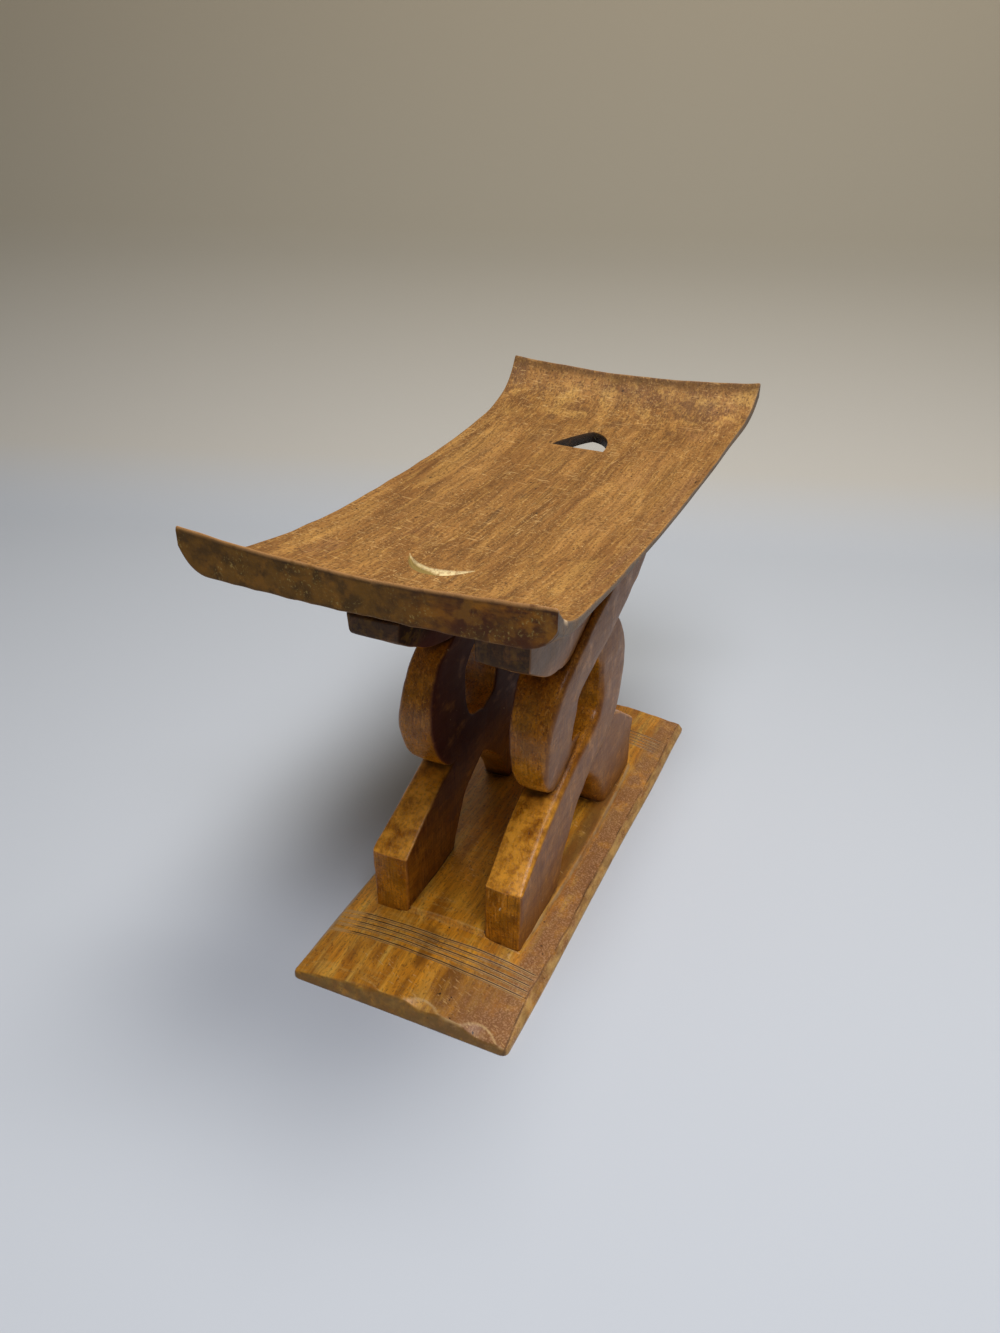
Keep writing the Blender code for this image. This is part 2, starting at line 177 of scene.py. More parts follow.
def readSkin(mesh):
    # The points of a mesh, and the normals there
    points = np.zeros((len(mesh.vertices), 3))
    normals = np.zeros((len(mesh.vertices), 3))
    mesh.vertices.foreach_get("co", points.ravel())
    mesh.vertex_normals.foreach_get("vector", normals.ravel())
    return points, normals


def movePoints(piece, points):
    piece.data.vertices.foreach_set("co", points.ravel())
    piece.data.update()


# The seat: its sizes, and its upper and lower surfaces

seatLow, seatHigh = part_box("seat")
seat = {
    "halfLength": (seatHigh.x - seatLow.x) / 2,
    "tipZ": seatHigh.z,
    "rise": 44.5 * mm,  # from the middle of the long edges up to the tips
    "sweepShare": 0.46,
    "sweepPower": 2.4,
    "lipPower": 14,
    "halfWidthEnd": (seatHigh.y - seatLow.y) / 2,
    "flare": 6.2 * mm,
    "dish": 4.0 * mm,
    "endDish": 6.5 * mm,
    "underZ": seatLow.z,
    "endUnderZ": seatHigh.z - 32.5 * mm,
    "underFlat": 75 * mm,  # half the width of the flat part of the underside
    "edge": 4.5 * mm,
    "endEdge": 15 * mm,
    "nearLeftLift": 1.0 * mm,  # the carver's eye: the near end is a little out of true
    "nearRightDrop": 1.5 * mm,
    "twistStartShare": 0.55,
    "rightRise": 3.6 * mm,
    "rightRiseFade": (-240 * mm, -80 * mm),
    "nearLeftFlare": 4.0 * mm,
    "nearUnderRise": 2.4 * mm,  # how much the near end's underside curls up towards its corners
    "lip": 1.6 * mm,  # radii that hands and years have worn on the rim
    "endLip": 2.4 * mm,
    "underLip": 1.2 * mm,
    "leastEdge": 0.8 * mm,
    "waves": [(55 * mm, 0.35 * mm, 3), (21 * mm, 0.12 * mm, 4)],
    "sideWaves": [(90 * mm, 0.4 * mm, 8)],
    "endWaves": [(70 * mm, 0.5 * mm, 9)],
    "scoops": (34 * mm, 17 * mm, 11),  # cuts of the blade underneath: length, width, seed
    "scoopDepth": 0.7 * mm,
    "scoopFade": 20 * mm,
    "facetEdges": [-125, -88, -61, -33, -4, 20, 44, 83, 125],  # of the adze cuts on the near end, mm
    "facetTilt": 0.035,
    "facetInset": 0.4 * mm,
    "gougeRows": (-170 * mm, -136 * mm),  # where the mesh is fine enough for the gouge
}
hole = {
    "start": 129.5 * mm,
    "length": 38 * mm,
    "left": 24.5 * mm,
    "right": 22.5 * mm,
    "offset": 7.5 * mm,
    "leftFullness": (1.35, 0.85),
    "rightFullness": (2.3, 0.50),
    "wornEdge": 0.6 * mm,
    # Heights above the seat's top, each with the share of the worn edge that the hole is wider there
    "levels": [(-60 * mm, 0.0), (-2.4 * mm, 0.0), (-1.0 * mm, 0.18), (-0.3 * mm, 0.45), (0.2 * mm, 0.9),
               (30 * mm, 1.2)],
    "points": 72,
}
# A crescent that a slipped blade took out of the top, between two bowed edges
gouge = {
    "left": 28.8 * mm,
    "right": -24.2 * mm,
    "lowest": 1.6 * mm,  # where across the seat both edges come nearest to the end
    "farEdge": (-155.4 * mm, 18.2 * mm, 1.9),  # nearest to the end, rise to the tips, power of the bow
    "nearEdge": (-167.6 * mm, 30.2 * mm, 2.3),
    "rightTipShift": -7.0 * mm,
    "leastWidth": 0.05 * mm,
    "depth": 2.8 * mm,
    "fullDepthWidth": 8 * mm,
}
# Where the colour of the top changes. Millimetres: middle x and y, half length, half width; then strength
seatStrokes = {
    "golden": [
        (70, 90, 85, 9, 1.0), (-120, 98, 62, 8, 0.9), (120, 107, 80, 4, 0.7), (-135, -84, 45, 11, 0.9),
        (-150, -58, 36, 7, 0.6), (-20, -48, 90, 7, 0.35), (60, -86, 60, 9, 0.45), (-160, 45, 22, 9, 0.5),
        (95, 18, 34, 12, 0.4), (-80, -6, 40, 5, 0.45), (215, 62, 25, 22, 0.8), (205, 10, 28, 12, 0.5),
    ],
    "stained": [
        (-50, 11.5, 34, 2.4, 1.0), (8, 5.5, 8, 3.6, 0.9), (75, 78, 110, 1.6, 0.8), (-92, -18, 30, 3, 0.6),
        (-30, -24, 34, 2.6, 0.5), (150, 46, 26, 14, 0.5), (40, -84, 90, 1.6, 0.5), (-112, 28, 14, 8, 0.5),
        (20, 60, 60, 2.2, 0.45), (118, 0, 10, 3, 0.5), (-60, 74, 80, 5, 0.4), (0, 30, 70, 3, 0.35),
    ],
    "darkEnd": [
        (222, -70, 16, 18, 0.9), (190, -7, 9, 6, 0.9), (186, 60, 8, 7, 0.8), (184, -59, 5, 5, 0.9),
        (238, 112, 12, 9, 0.9), (232, 0, 16, 10, 0.6), (205, 34, 10, 6, 0.6), (166, -103, 7, 3, 0.8),
    ],
    "rosy": [
        (-40, -105, 150, 9, 0.9), (205, -88, 34, 22, 0.9), (-163, 81, 20, 10, 0.8), (100, -60, 50, 12, 0.3),
        (-10, -66, 40, 16, 0.35), (-70, 55, 60, 14, 0.35),
    ],
}


def seatShare(x):
    return np.minimum(np.abs(x) / seat["halfLength"], 1.0)


def seatHalfWidth(x):
    return seat["halfWidthEnd"] - seat["flare"] * (1.0 - seatShare(x) ** 4)


def seatEdgeZ(x):
    share = seatShare(x)
    sweep = seat["sweepShare"] * share ** seat["sweepPower"]
    lip = (1.0 - seat["sweepShare"]) * share ** seat["lipPower"]
    return seat["tipZ"] - seat["rise"] * (1.0 - sweep - lip)


def seatTwist(x, y):
    side = y / seat["halfWidthEnd"]
    amount = np.where(side > 0.0, seat["nearLeftLift"] * side ** 2, -seat["nearRightDrop"] * side ** 4)
    start = seat["twistStartShare"] * seat["halfLength"]
    amount = amount * between(-x, start, seat["halfLength"]) ** 2
    rise = np.where(side < 0.0, seat["rightRise"] * side ** 4, 0.0)
    return amount + rise * (1.0 - seatShare(x) ** 16) * between(-x, *seat["rightRiseFade"])


def gougeShares(x, y):
    # How far across the crescent a point lies, from its near edge to its far one, and its width there
    reach = np.where(y > gouge["lowest"], gouge["left"] - gouge["lowest"], gouge["lowest"] - gouge["right"])
    bow = np.minimum(np.abs(y - gouge["lowest"]) / reach, 1.0)
    tipShift = np.where(y > gouge["lowest"], 0.0, gouge["rightTipShift"]) * bow ** 2
    far, near = [lowest + rise * bow ** power + tipShift
                 for lowest, rise, power in (gouge["farEdge"], gouge["nearEdge"])]
    width = np.maximum(far - near, gouge["leastWidth"])
    return np.where(bow < 1.0, (x - near) / width, -1.0), width


def gougeDepth(x, y):
    share, width = gougeShares(x, y)
    profile = between(share, 0.0, 0.45) * np.sqrt(between(-share, -1.0, -0.62))
    return profile * np.minimum(width / gouge["fullDepthWidth"], 1.0) * gouge["depth"]


def strokes(x, y, table, seed):
    # Soft patches along the grain, with uneven edges
    bent = y + unevenness(x, y, [(60 * mm, 1.6 * mm, seed)])
    total = np.zeros(x.shape)
    for middleX, middleY, halfLength, halfWidth, strength in table:
        distance = ((x / mm - middleX) / halfLength) ** 4 + ((bent / mm - middleY) / halfWidth) ** 2
        total = np.maximum(total, strength * np.clip(1.35 - distance, 0.0, 1.0))
    return total


def seatTopZ(x, y):
    share = seatShare(x)
    half = seatHalfWidth(x)
    dish = seat["dish"] + (seat["endDish"] - seat["dish"]) * share ** 4
    level = seatEdgeZ(x) - dish * (1.0 - np.minimum(np.abs(y) / half, 1.0) ** 2) + seatTwist(x, y)
    return level + unevenness(x, y, seat["waves"]) - gougeDepth(x, y)


def seatUnderZ(x, y):
    share = seatShare(x)
    half = seatHalfWidth(x)
    endPart = share ** 8
    under = seat["underZ"] + (seat["endUnderZ"] - seat["underZ"]) * share ** 2
    edge = seatEdgeZ(x) + seatTwist(x, y) - (seat["edge"] + (seat["endEdge"] - seat["edge"]) * endPart)
    under = under + seat["nearUnderRise"] * (y / half) ** 2 * between(-x, 0.6 * half, 2.0 * half)
    slope = between(np.abs(y), seat["underFlat"], half)
    roundness = 2.0 + 5.0 * endPart
    return under + (edge - under) * slope ** roundness


def endFacetShift(y):
    # How far the flat adze cuts stand in from the outline of the near end
    edges = np.array(seat["facetEdges"]) * mm
    index = np.clip(np.searchsorted(edges, y) - 1, 0, len(edges) - 2)
    tilts = np.random.RandomState(5).uniform(-seat["facetTilt"], seat["facetTilt"], len(edges))
    middle = (edges[index] + edges[index + 1]) / 2
    return (y - middle) * tilts[index] + seat["facetInset"]


def seatUnderCarved(x, y):
    cuts = scoops(x + 0.4 * y, y, *seat["scoops"]) * seat["scoopDepth"]
    return seatUnderZ(x, y) - cuts * eased(seatHalfWidth(x) - np.abs(y), 0.0, seat["scoopFade"])


def wornRim(inset, radius):
    # How far a worn edge lies below a sharp one, at a distance in from it
    inside = np.clip(radius - inset, 0.0, radius)
    return radius - np.sqrt(radius ** 2 - inside ** 2)


def holeOutline(spread):
    turns = np.linspace(-math.pi / 2, math.pi / 2, hole["points"])
    points = []
    for turn in turns:
        power, bend = hole["leftFullness"] if turn > 0 else hole["rightFullness"]
        reach = hole["left"] if turn > 0 else hole["right"]
        along = max(math.cos(turn), 0.0)
        across = math.copysign((1.0 - along ** power) ** bend, turn)
        points.append((hole["start"] + hole["length"] * along, hole["offset"] + across * reach))
    outline = np.array(points)
    if spread > 0.0:
        middle = np.array([hole["start"] + 0.4 * hole["length"], hole["offset"]])
        size = np.array([0.5 * hole["length"], hole["left"]])
        outline = outline + (outline - middle) / size * spread
    return outline


def holeCutter():
    # Straight through the seat, flared where fingers have worn its upper rim
    rings = []
    for height, spread in hole["levels"]:
        outline = holeOutline(spread * hole["wornEdge"])
        z = seatTopZ(outline[:, 0], outline[:, 1]) + height
        rings.append(np.column_stack([outline, z]))
    return sleeve("holeCutter", np.array(rings))


def makeSeat():
    half = seat["halfLength"]
    gougeStart, gougeEnd = seat["gougeRows"]
    u = steps(-half, (0.4 * mm, -half + 3 * mm), (1.0 * mm, -half + 24 * mm), (2 * mm, gougeStart),
              (0.55 * mm, gougeEnd), (2.4 * mm, 120 * mm), (1.8 * mm, half - 24 * mm),
              (1.0 * mm, half - 3 * mm), (0.4 * mm, half))
    v = steps(-1.0, (0.0025, -0.985), (0.009, -0.9), (0.018, -0.26), (0.0065, 0.28), (0.018, 0.9),
              (0.009, 0.985), (0.0025, 1.0))
    x = np.repeat(u[:, None], len(v), axis=1)
    halfWidth = seatHalfWidth(x) + unevenness(x, 0.0, seat["sideWaves"])
    y = v[None, :] * halfWidth
    x = x + np.sign(x) * seatShare(x) ** 20 * unevenness(y, 0.0, seat["endWaves"])
    endInset = half - np.abs(np.repeat(u[:, None], len(v), axis=1))
    sideInset = halfWidth - np.abs(y)
    top = seatTopZ(x, y) - wornRim(sideInset, seat["lip"]) - wornRim(endInset, seat["endLip"])
    bottom = seatUnderCarved(x, y) + wornRim(np.minimum(endInset, sideInset), seat["underLip"])
    bottom = np.minimum(bottom, top - seat["leastEdge"])
    y = y + seat["nearLeftFlare"] * between(y, 0.0, halfWidth) * between(-x, 0.7 * half, half) ** 3
    piece = slab("seatCarving", x, y, top, bottom, 16)
    points = readSkin(piece.data)[0]
    atEnd = points[:, 0] < -half + 2 * mm
    points[atEnd, 0] += endFacetShift(points[atEnd, 1] + 0.25 * (points[atEnd, 2] - seat["endUnderZ"]))
    movePoints(piece, points)
    cutAway(piece, holeCutter())
    return piece


# The base: a domed plate with a low platform for the feet, scored across at both ends

baseLow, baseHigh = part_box("base")
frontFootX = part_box("right_front_strand")[0].x
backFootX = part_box("right_back_strand")[1].x
panelMiddle = (frontFootX + backFootX) / 2
panelReach = (backFootX - frontFootX) / 2
platformTopZ = baseHigh.z
base = {
    "halfLength": (baseHigh.x - baseLow.x) / 2,
    "halfWidth": (baseHigh.y - baseLow.y) / 2,
    "crown": 19.0 * mm,
    "edgeHeight": 8.5 * mm,
    "rim": 1.6 * mm,
    "corner": 5.0 * mm,
    "domeMargin": 6.0 * mm,
    "sideBevel": 4.8 * mm,
    "bevelHeight": 3.2 * mm,
    "bevelNarrowing": (0.62, 195 * mm, 234 * mm),  # share lost towards the near end, from and to where
    "endSlope": 3.4,
    # Chips out of the near end, in millimetres: middle, half width, height, slope and rise at the sides
    "chips": [(-21, 19, 9.9, 0.52, 4.6), (-72, 17, 5.4, 0.44, 4.2), (32, 26, 9.4, 0.85, 3.5),
              (79, 9, 6.2, 0.9, 3.0)],
    "endDropShare": 0.20,
    "platformStep": platformTopZ - 19.0 * mm,
    "platformHalfWidth": 64.5 * mm,
    "platformBulge": 4.5 * mm,
    "waves": [(60 * mm, 0.22 * mm, 5), (17 * mm, 0.08 * mm, 6)],
    "sideWaves": [(150 * mm, 0.5 * mm, 91)],
    "endWaves": [(110 * mm, 0.35 * mm, 92)],
    "endFaceWaves": [(46 * mm, 0.5 * mm, 71)],
    "bevelWaves": [(120 * mm, 0.6 * mm, 81), (34 * mm, 0.35 * mm, 82)],
}
# Five double lines scored across each end, a little bowed. Millimetres, at places across the base
scores = {
    "places": [-85, -60, -35, -5, 20, 50, 88],
    "near": [[-163.8, -164.0, -165.0, -166.3, -165.9, -164.0, -162.3],
             [-169.2, -169.6, -171.3, -171.5, -170.0, -168.5, -167.5],
             [-175.4, -176.2, -176.5, -176.9, -175.6, -173.8, -172.6],
             [-181.2, -181.5, -182.3, -181.9, -180.9, -178.8, -177.6],
             [-187.4, -188.2, -189.0, -188.4, -187.3, -185.2, -184.6]],
    "far": [[166.5, 166.2, 166.0, 166.4, 166.2, 165.6, 165.0],
            [171.8, 171.6, 171.4, 171.9, 171.5, 171.0, 170.4],
            [177.0, 177.1, 176.8, 177.2, 176.7, 176.1, 175.8],
            [182.3, 182.0, 182.2, 182.6, 182.1, 181.6, 181.0],
            [188.3, 188.0, 187.8, 188.1, 187.6, 187.0, 186.6]],
    "pairGap": 1.75 * mm,
    "halfWidth": 0.6 * mm,
    "depth": 0.9 * mm,
    "nearStart": (-86 * mm, -79 * mm),  # where across the base the near lines begin
    "farStart": (9 * mm, 15 * mm),  # how far in from its sides the far ones begin
    "rows": {"near": (-193 * mm, -157 * mm), "far": (160 * mm, 194 * mm)},  # of the mesh, bent with them
    "fineRows": ((-191 * mm, -160 * mm), (163 * mm, 190 * mm)),
}
# Flames and shades in the grain of the base, in millimetres like the seat's
baseStrokes = {
    "flame": [
        (-208, 52, 22, 9, 0.9), (-190, 45, 10, 6, 0.7), (-213, -8, 18, 4, 1.0), (-190, 15, 14, 3.5, 0.7),
        (-158, 14, 10, 4, 0.6), (-225, 8, 10, 4, 0.5), (-156, 42, 8, 4, 0.5), (-215, 26, 14, 3, 0.5),
    ],
    "shade": [
        (-182, 1, 20, 5, 0.9), (-170, 9, 12, 6, 0.7), (-206, -30, 22, 10, 1.0), (-198, -60, 34, 18, 0.6),
        (-196, 35, 14, 3, 0.6), (-218, -48, 20, 5, 0.8), (-225, 38, 12, 4, 0.5), (-222, 0, 14, 2, 0.7),
    ],
}


def domeZ(x, y):
    share = np.minimum(np.abs(y) / (base["halfWidth"] - base["domeMargin"]), 1.2)
    dome = base["edgeHeight"] + (base["crown"] - base["edgeHeight"]) * (1.0 - share * share)
    levelEnd = max(abs(frontFootX), abs(backFootX))
    drop = base["endDropShare"] * between(np.abs(x), levelEnd, base["halfLength"])
    return dome * (1.0 - drop)


def platformInset(x, y):
    # Distance in from the platform's edge, ahead of the feet and beside them
    share = (x - panelMiddle) / panelReach
    bulge = base["platformBulge"] * (1.0 - np.minimum(share ** 2, 1.0))
    side = base["platformHalfWidth"] + bulge - np.abs(y)
    end = panelReach - np.abs(x - panelMiddle)
    return side, end


def platformRise(x, y):
    side, end = platformInset(x, y)
    return base["platformStep"] * between(side, -0.6 * mm, 0.9 * mm) * between(end, -0.6 * mm, 2.6 * mm)


def scoreMiddles(end, y):
    # Where each double line of one end runs, its wander by hand included
    places = np.array(scores["places"]) * mm
    middles = []
    for index, line in enumerate(scores[end]):
        wander = unevenness(0.0, y, [(40 * mm, 0.15 * mm, 40 + index)])
        middles.append(np.interp(y, places, np.array(line) * mm) + wander)
    return middles


def scoreShape(x, y, twins=(-0.5, 0.5)):
    # 1 at the bottom of a scored line, 0 clear of them
    cut = np.zeros(x.shape)
    starts = {"near": eased(y, *scores["nearStart"]),
              "far": eased(base["halfWidth"] - np.abs(y), *scores["farStart"])}
    for end, start in starts.items():
        for index, middle in enumerate(scoreMiddles(end, y)):
            for twin in twins:
                depth = 0.85 + 0.2 * swell(0.0, y, 0.0, 25 * mm, 60 + 7 * index + int(twin * 2))
                distance = np.abs(x - middle - twin * scores["pairGap"])
                groove = np.clip(1.0 - distance / scores["halfWidth"], 0.0, 1.0)
                cut = np.maximum(cut, groove * np.clip(depth, 0.55, 1.0) * start)
    return cut


def followScores(u, y):
    # Bends the rows of the plan grid, so that each scored line lies along one of them
    half = base["halfLength"]
    columns = y.shape[1]
    levels, bent = [-half], [np.full(columns, -half)]
    for end, (start, stop) in scores["rows"].items():
        middles = sorted(scoreMiddles(end, y[0]), key=lambda line: line.mean())
        twins = [middle + twin * scores["pairGap"] for middle in middles for twin in (-0.5, 0.5)]
        levels += [start, *(line.mean() for line in twins), stop]
        bent += [np.full(columns, start), *twins, np.full(columns, stop)]
    levels.append(half)
    bent = np.array(bent + [np.full(columns, half)])
    return np.stack([np.interp(u, levels, bent[:, column]) for column in range(columns)], axis=1)


def endFacets(x, y, outlineX):
    # The steep end faces, with chips out of the near one
    inward = outlineX - np.abs(x)
    steep = base["rim"] + inward * base["endSlope"] + unevenness(0.0, y, base["endFaceWaves"])
    chipped = steep
    for middle, halfWidth, height, slope, rise in base["chips"]:
        bow = ((y - middle * mm) / (halfWidth * mm)) ** 2
        chipped = np.minimum(chipped, height * mm + inward * slope + bow * rise * mm)
    return np.where(x < 0.0, chipped, steep)


def bevelWidth(x):
    share, start, end = base["bevelNarrowing"]
    width = base["sideBevel"] + unevenness(x, 0.0, base["bevelWaves"])
    return width * (1.0 - share * between(-x, start, end))


def sideBevel(x, y, outlineY):
    inward = outlineY - np.abs(y)
    return base["bevelHeight"] + inward * (base["edgeHeight"] - base["bevelHeight"]) / bevelWidth(x)


def baseTopZ(x, y, outlineX, outlineY):
    surface = domeZ(x, y) + platformRise(x, y) + unevenness(x, y, base["waves"])
    surface = surface - scores["depth"] * scoreShape(x, y)
    bevel = np.minimum(sideBevel(x, y, outlineY), endFacets(x, y, outlineX))
    return np.minimum(surface, bevel)


def makeBase():
    half = base["halfLength"]
    front, back = frontFootX, backFootX
    (nearStart, nearStop), (farStart, farStop) = scores["fineRows"]
    u = steps(-half, (0.8 * mm, -half + 18 * mm), (1.5 * mm, nearStart), (0.22 * mm, nearStop),
              (1.0 * mm, front - 1 * mm), (0.5 * mm, front + 4 * mm), (2.4 * mm, back - 4 * mm),
              (0.5 * mm, back + 1 * mm), (1.6 * mm, farStart), (0.27 * mm, farStop),
              (1.8 * mm, half - 12 * mm), (0.9 * mm, half))
    edge = base["platformHalfWidth"] / base["halfWidth"]
    v = steps(-1.0, (0.0085, -0.9), (0.017, -edge - 0.07), (0.0055, -edge + 0.02), (0.026, edge - 0.02),
              (0.0055, edge + 0.07), (0.017, 0.9), (0.0085, 1.0))
    x = np.repeat(u[:, None], len(v), axis=1)
    plain = x.copy()
    side = v[None, :] * np.ones(x.shape)
    outlineY = base["halfWidth"] + unevenness(x, 0.0, base["sideWaves"])
    outlineY = outlineY - wornRim(half - np.abs(plain), base["corner"])
    y = side * outlineY
    outlineX = half + unevenness(0.0, y, base["endWaves"])
    x = followScores(u, y)
    x = np.where(np.abs(plain) > half - 0.01 * mm, np.sign(plain) * outlineX, x)
    top = baseTopZ(x, y, outlineX, outlineY)
    return slab("baseCarving", x, y, top, 0.0 * top, 2)


# The strands of the side panels

strand = {
    "footInner": 34.0 * mm,
    "footOuter": 64.5 * mm,
    "topInner": 27.0 * mm,
    "topOuter": 70.0 * mm,
    "innerLeanPower": 3.0,
    "weaveDepth": 9.0 * mm,
    # Radii of the worn corners: numbers of pairs along the strand, then millimetres
    "outerHigh": {"front": ([0, 2, 3, 5, 7, 13, 14.6, 15, 16],
                            [2.2, 2.6, 7.0, 8.5, 5.0, 3.8, 2.0, 1.2, 1.2]),
                  "back": ([0, 2, 5, 16], [4.0, 4.0, 3.0, 3.0])},
    "outerLow": {"front": ([0, 13, 14.5, 16], [2.8, 2.8, 5.5, 5.5]),
                 "back": ([0, 3, 5, 7, 9, 12, 14, 16], [9.0, 9.0, 5.0, 5.5, 6.5, 6.5, 4.0, 2.6])},
    "innerLow": {"front": ([0, 16], [2.4, 2.4]), "back": ([0, 5, 8, 12, 16], [2.4, 2.4, 3.4, 3.4, 2.4])},
    "innerHigh": {"front": ([0, 16], [2.2, 2.2]), "back": ([0, 16], [2.4, 2.4])},
    "crown": 0.7 * mm,  # how much the flat faces bow out
    # How much thicker each panel is than its taper says: heights, then gains, both in millimetres
    "outerGain": {
        "left": ([66, 75, 84, 94, 104, 112, 118, 124, 132, 143, 157, 172, 191, 207, 219, 240, 254, 272, 284],
                 [0, -0.5, -2.7, -5, -6, -6.4, -4, 1, 4.2, 5.2, 5.6, 4.1, 2.2, -0.5, -3.8, -5, -2, 2, 3]),
        "right": ([100, 300], [0, 0]),
    },
    "innerGain": {
        "left": ([68, 85, 95, 112, 120, 132, 148, 164, 180, 198, 213, 224, 240, 262],
                 [0, 1.6, 2.4, 2.8, 3.0, 1.4, -1.0, -1.7, -2.7, -4.4, -4.7, -2.6, -1.5, 0]),
        "right": ([95, 125, 145, 161, 189, 216, 250, 300], [0, 1.0, 2.2, 3.2, 4.6, 5.0, 3.0, 1.5]),
    },
    "bury": 3.0 * mm,  # how far a foot or top runs into the base or the seat
    "carving": (0.30 * mm, 34 * mm),  # height and length of the unevenness
    "fineCarving": (0.10 * mm, 11 * mm),
}
# Pairs of points on the upper and lower edges, seen from the side. Across: shares of the
# panel's reach from its middle. Up: shares of the height from the platform to the seat.
strandPairs = [
    ((-1.000, -0.039), (-0.430, -0.039)),
    ((-1.000, 0.078), (-0.345, 0.063)),
    ((-1.000, 0.167), (-0.265, 0.131)),
    ((-0.700, 0.271), (-0.155, 0.184)),
    ((-0.330, 0.344), (0.030, 0.242)),
    ((0.000, 0.388), (0.195, 0.268)),
    ((0.170, 0.411), (0.365, 0.291)),
    ((0.240, 0.470), (0.560, 0.363)),
    ((0.240, 0.528), (0.640, 0.465)),
    ((0.215, 0.576), (0.625, 0.557)),
    ((0.115, 0.628), (0.530, 0.654)),
    ((-0.030, 0.667), (0.385, 0.722)),
    ((-0.235, 0.699), (0.160, 0.780)),
    ((-0.500, 0.733), (-0.110, 0.816)),
    ((-0.760, 0.777), (-0.330, 0.864)),
    ((-1.030, 0.857), (-0.450, 0.925)),
    ((-1.030, 1.114), (-0.500, 1.114)),
]
# The strands close in on the eye, and the back ones stand on narrower feet: number of the pair, 0 for
# its upper point or 1 for its lower one, and then what is added
strandShifts = {
    "front": [
        (7, 0, (-0.012, 0.0)), (8, 0, (-0.014, 0.0)), (9, 0, (-0.012, -0.006)), (10, 0, (0.0, -0.012)),
        (6, 1, (0.020, -0.006)), (7, 1, (0.036, -0.004)), (8, 1, (0.030, 0.0)), (9, 1, (0.022, 0.0)),
        (10, 1, (0.010, -0.010)), (11, 1, (0.0, -0.014)),
    ],
    "back": [
        (0, 1, (-0.040, 0.0)), (1, 1, (-0.020, 0.0)), (6, 0, (-0.015, 0.0)), (7, 0, (-0.034, 0.004)),
        (8, 0, (-0.038, 0.0)), (9, 0, (-0.036, -0.006)), (10, 0, (-0.020, -0.020)), (11, 0, (0.0, -0.026)),
        (12, 0, (0.0, -0.026)), (13, 0, (0.0, -0.018)), (14, 0, (0.0, -0.008)), (10, 1, (0.0, -0.006)),
        (11, 1, (0.0, -0.008)), (12, 1, (0.0, -0.010)), (13, 1, (0.0, -0.006)),
    ],
}
strandHeight = seat["underZ"] - platformTopZ
heel = 2  # the pair where the foot's front meets its sloping top
elbow = 15  # the pair where the strand turns up into its block
# How the strands weave: places from heel to elbow, and how far each strand stands back there
weavePlaces = [0.0, 0.22, 0.50, 0.74, 0.96]
weaves = {"front": [0.0, 0.0, 0.45, 1.0, 0.15], "back": [0.25, 1.0, 0.50, 0.0, 0.10]}
# The left front block stands a little proud of a rebate round its top and inner end. Millimetres
rebate = [((-160, 26, 284.6), (-151.6, 75, 286.4)), ((-160, 8, 260), (-152.8, 26.6, 300))]


def smoothTable(places, values, place):
    result = np.full(place.shape, values[-1], dtype=float)
    for index in range(len(places) - 1, 0, -1):
        share = eased(place, places[index - 1], places[index])
        run = values[index - 1] + (values[index] - values[index - 1]) * share
        result = np.where(place <= places[index], run, result)
    return result


def curveThrough(points, places, sharpAt):
    # A smooth curve through the points, which turns sharply where sharpAt says
    points = np.array(points, dtype=float)
    last = len(points) - 1
    index = np.clip(np.floor(places).astype(int), 0, last - 1)
    share = (places - index)[:, None]
    before = np.where(np.isin(index, sharpAt), index, np.maximum(index - 1, 0))
    after = np.where(np.isin(index + 1, sharpAt), index + 1, np.minimum(index + 2, last))
    a, b, c, d = points[before], points[index], points[index + 1], points[after]
    return (2 * b + (c - a) * share + (2 * a - 5 * b + 4 * c - d) * share ** 2
            + (3 * b - a - 3 * c + d) * share ** 3) / 2


def softenTurn(curve, places, corner, reach):
    # Rounds a sharp turn at a pair, within reach of it on both sides
    inside = np.abs(places - corner) < reach
    start = np.argmax(places >= corner - reach)
    end = len(places) - 1 - np.argmax(places[::-1] <= corner + reach)
    turn = curve[np.argmin(np.abs(places - corner))]
    share = ((places[inside] - (corner - reach)) / (2 * reach))[:, None]
    curve[inside] = (curve[start] * (1 - share) ** 2 + turn * 2 * share * (1 - share)
                     + curve[end] * share ** 2)
    return curve


def strandEdges(kind, facing):
    # Places along a strand, and its upper and lower edges there, seen from the side
    last = len(strandPairs) - 1
    places = steps(0.0, (0.09, heel - 0.25), (0.02, heel + 0.12), (0.085, elbow - 0.2),
                   (0.02, elbow + 0.12), (0.05, last))
    pairs = np.array(strandPairs)
    for index, edge, shift in strandShifts[kind]:
        pairs[index, edge] += shift
    upper = curveThrough(pairs[:, 0], places, [0, heel, elbow, last])
    lower = curveThrough(pairs[:, 1], places, [0, elbow, last])
    upper = softenTurn(upper, places, heel, 0.06)
    upper = softenTurn(upper, places, elbow, 0.07)
    edges = []
    for curve in (upper, lower):
        x = panelMiddle + facing * panelReach * curve[:, 0]
        z = platformTopZ + strandHeight * curve[:, 1]
        edges.append(np.column_stack([x, np.minimum(z, seatUnderZ(x, 0.0) + strand["bury"])]))
    return places, *edges


def faceY(z, outer):
    # How far out from the middle of the stool a panel's outer or inner face lies, at a height
    level = np.clip((z - platformTopZ) / strandHeight, 0.0, 1.0)
    if outer:
        return strand["footOuter"] + (strand["topOuter"] - strand["footOuter"]) * level
    lean = level ** strand["innerLeanPower"]
    return strand["footInner"] + (strand["topInner"] - strand["footInner"]) * lean


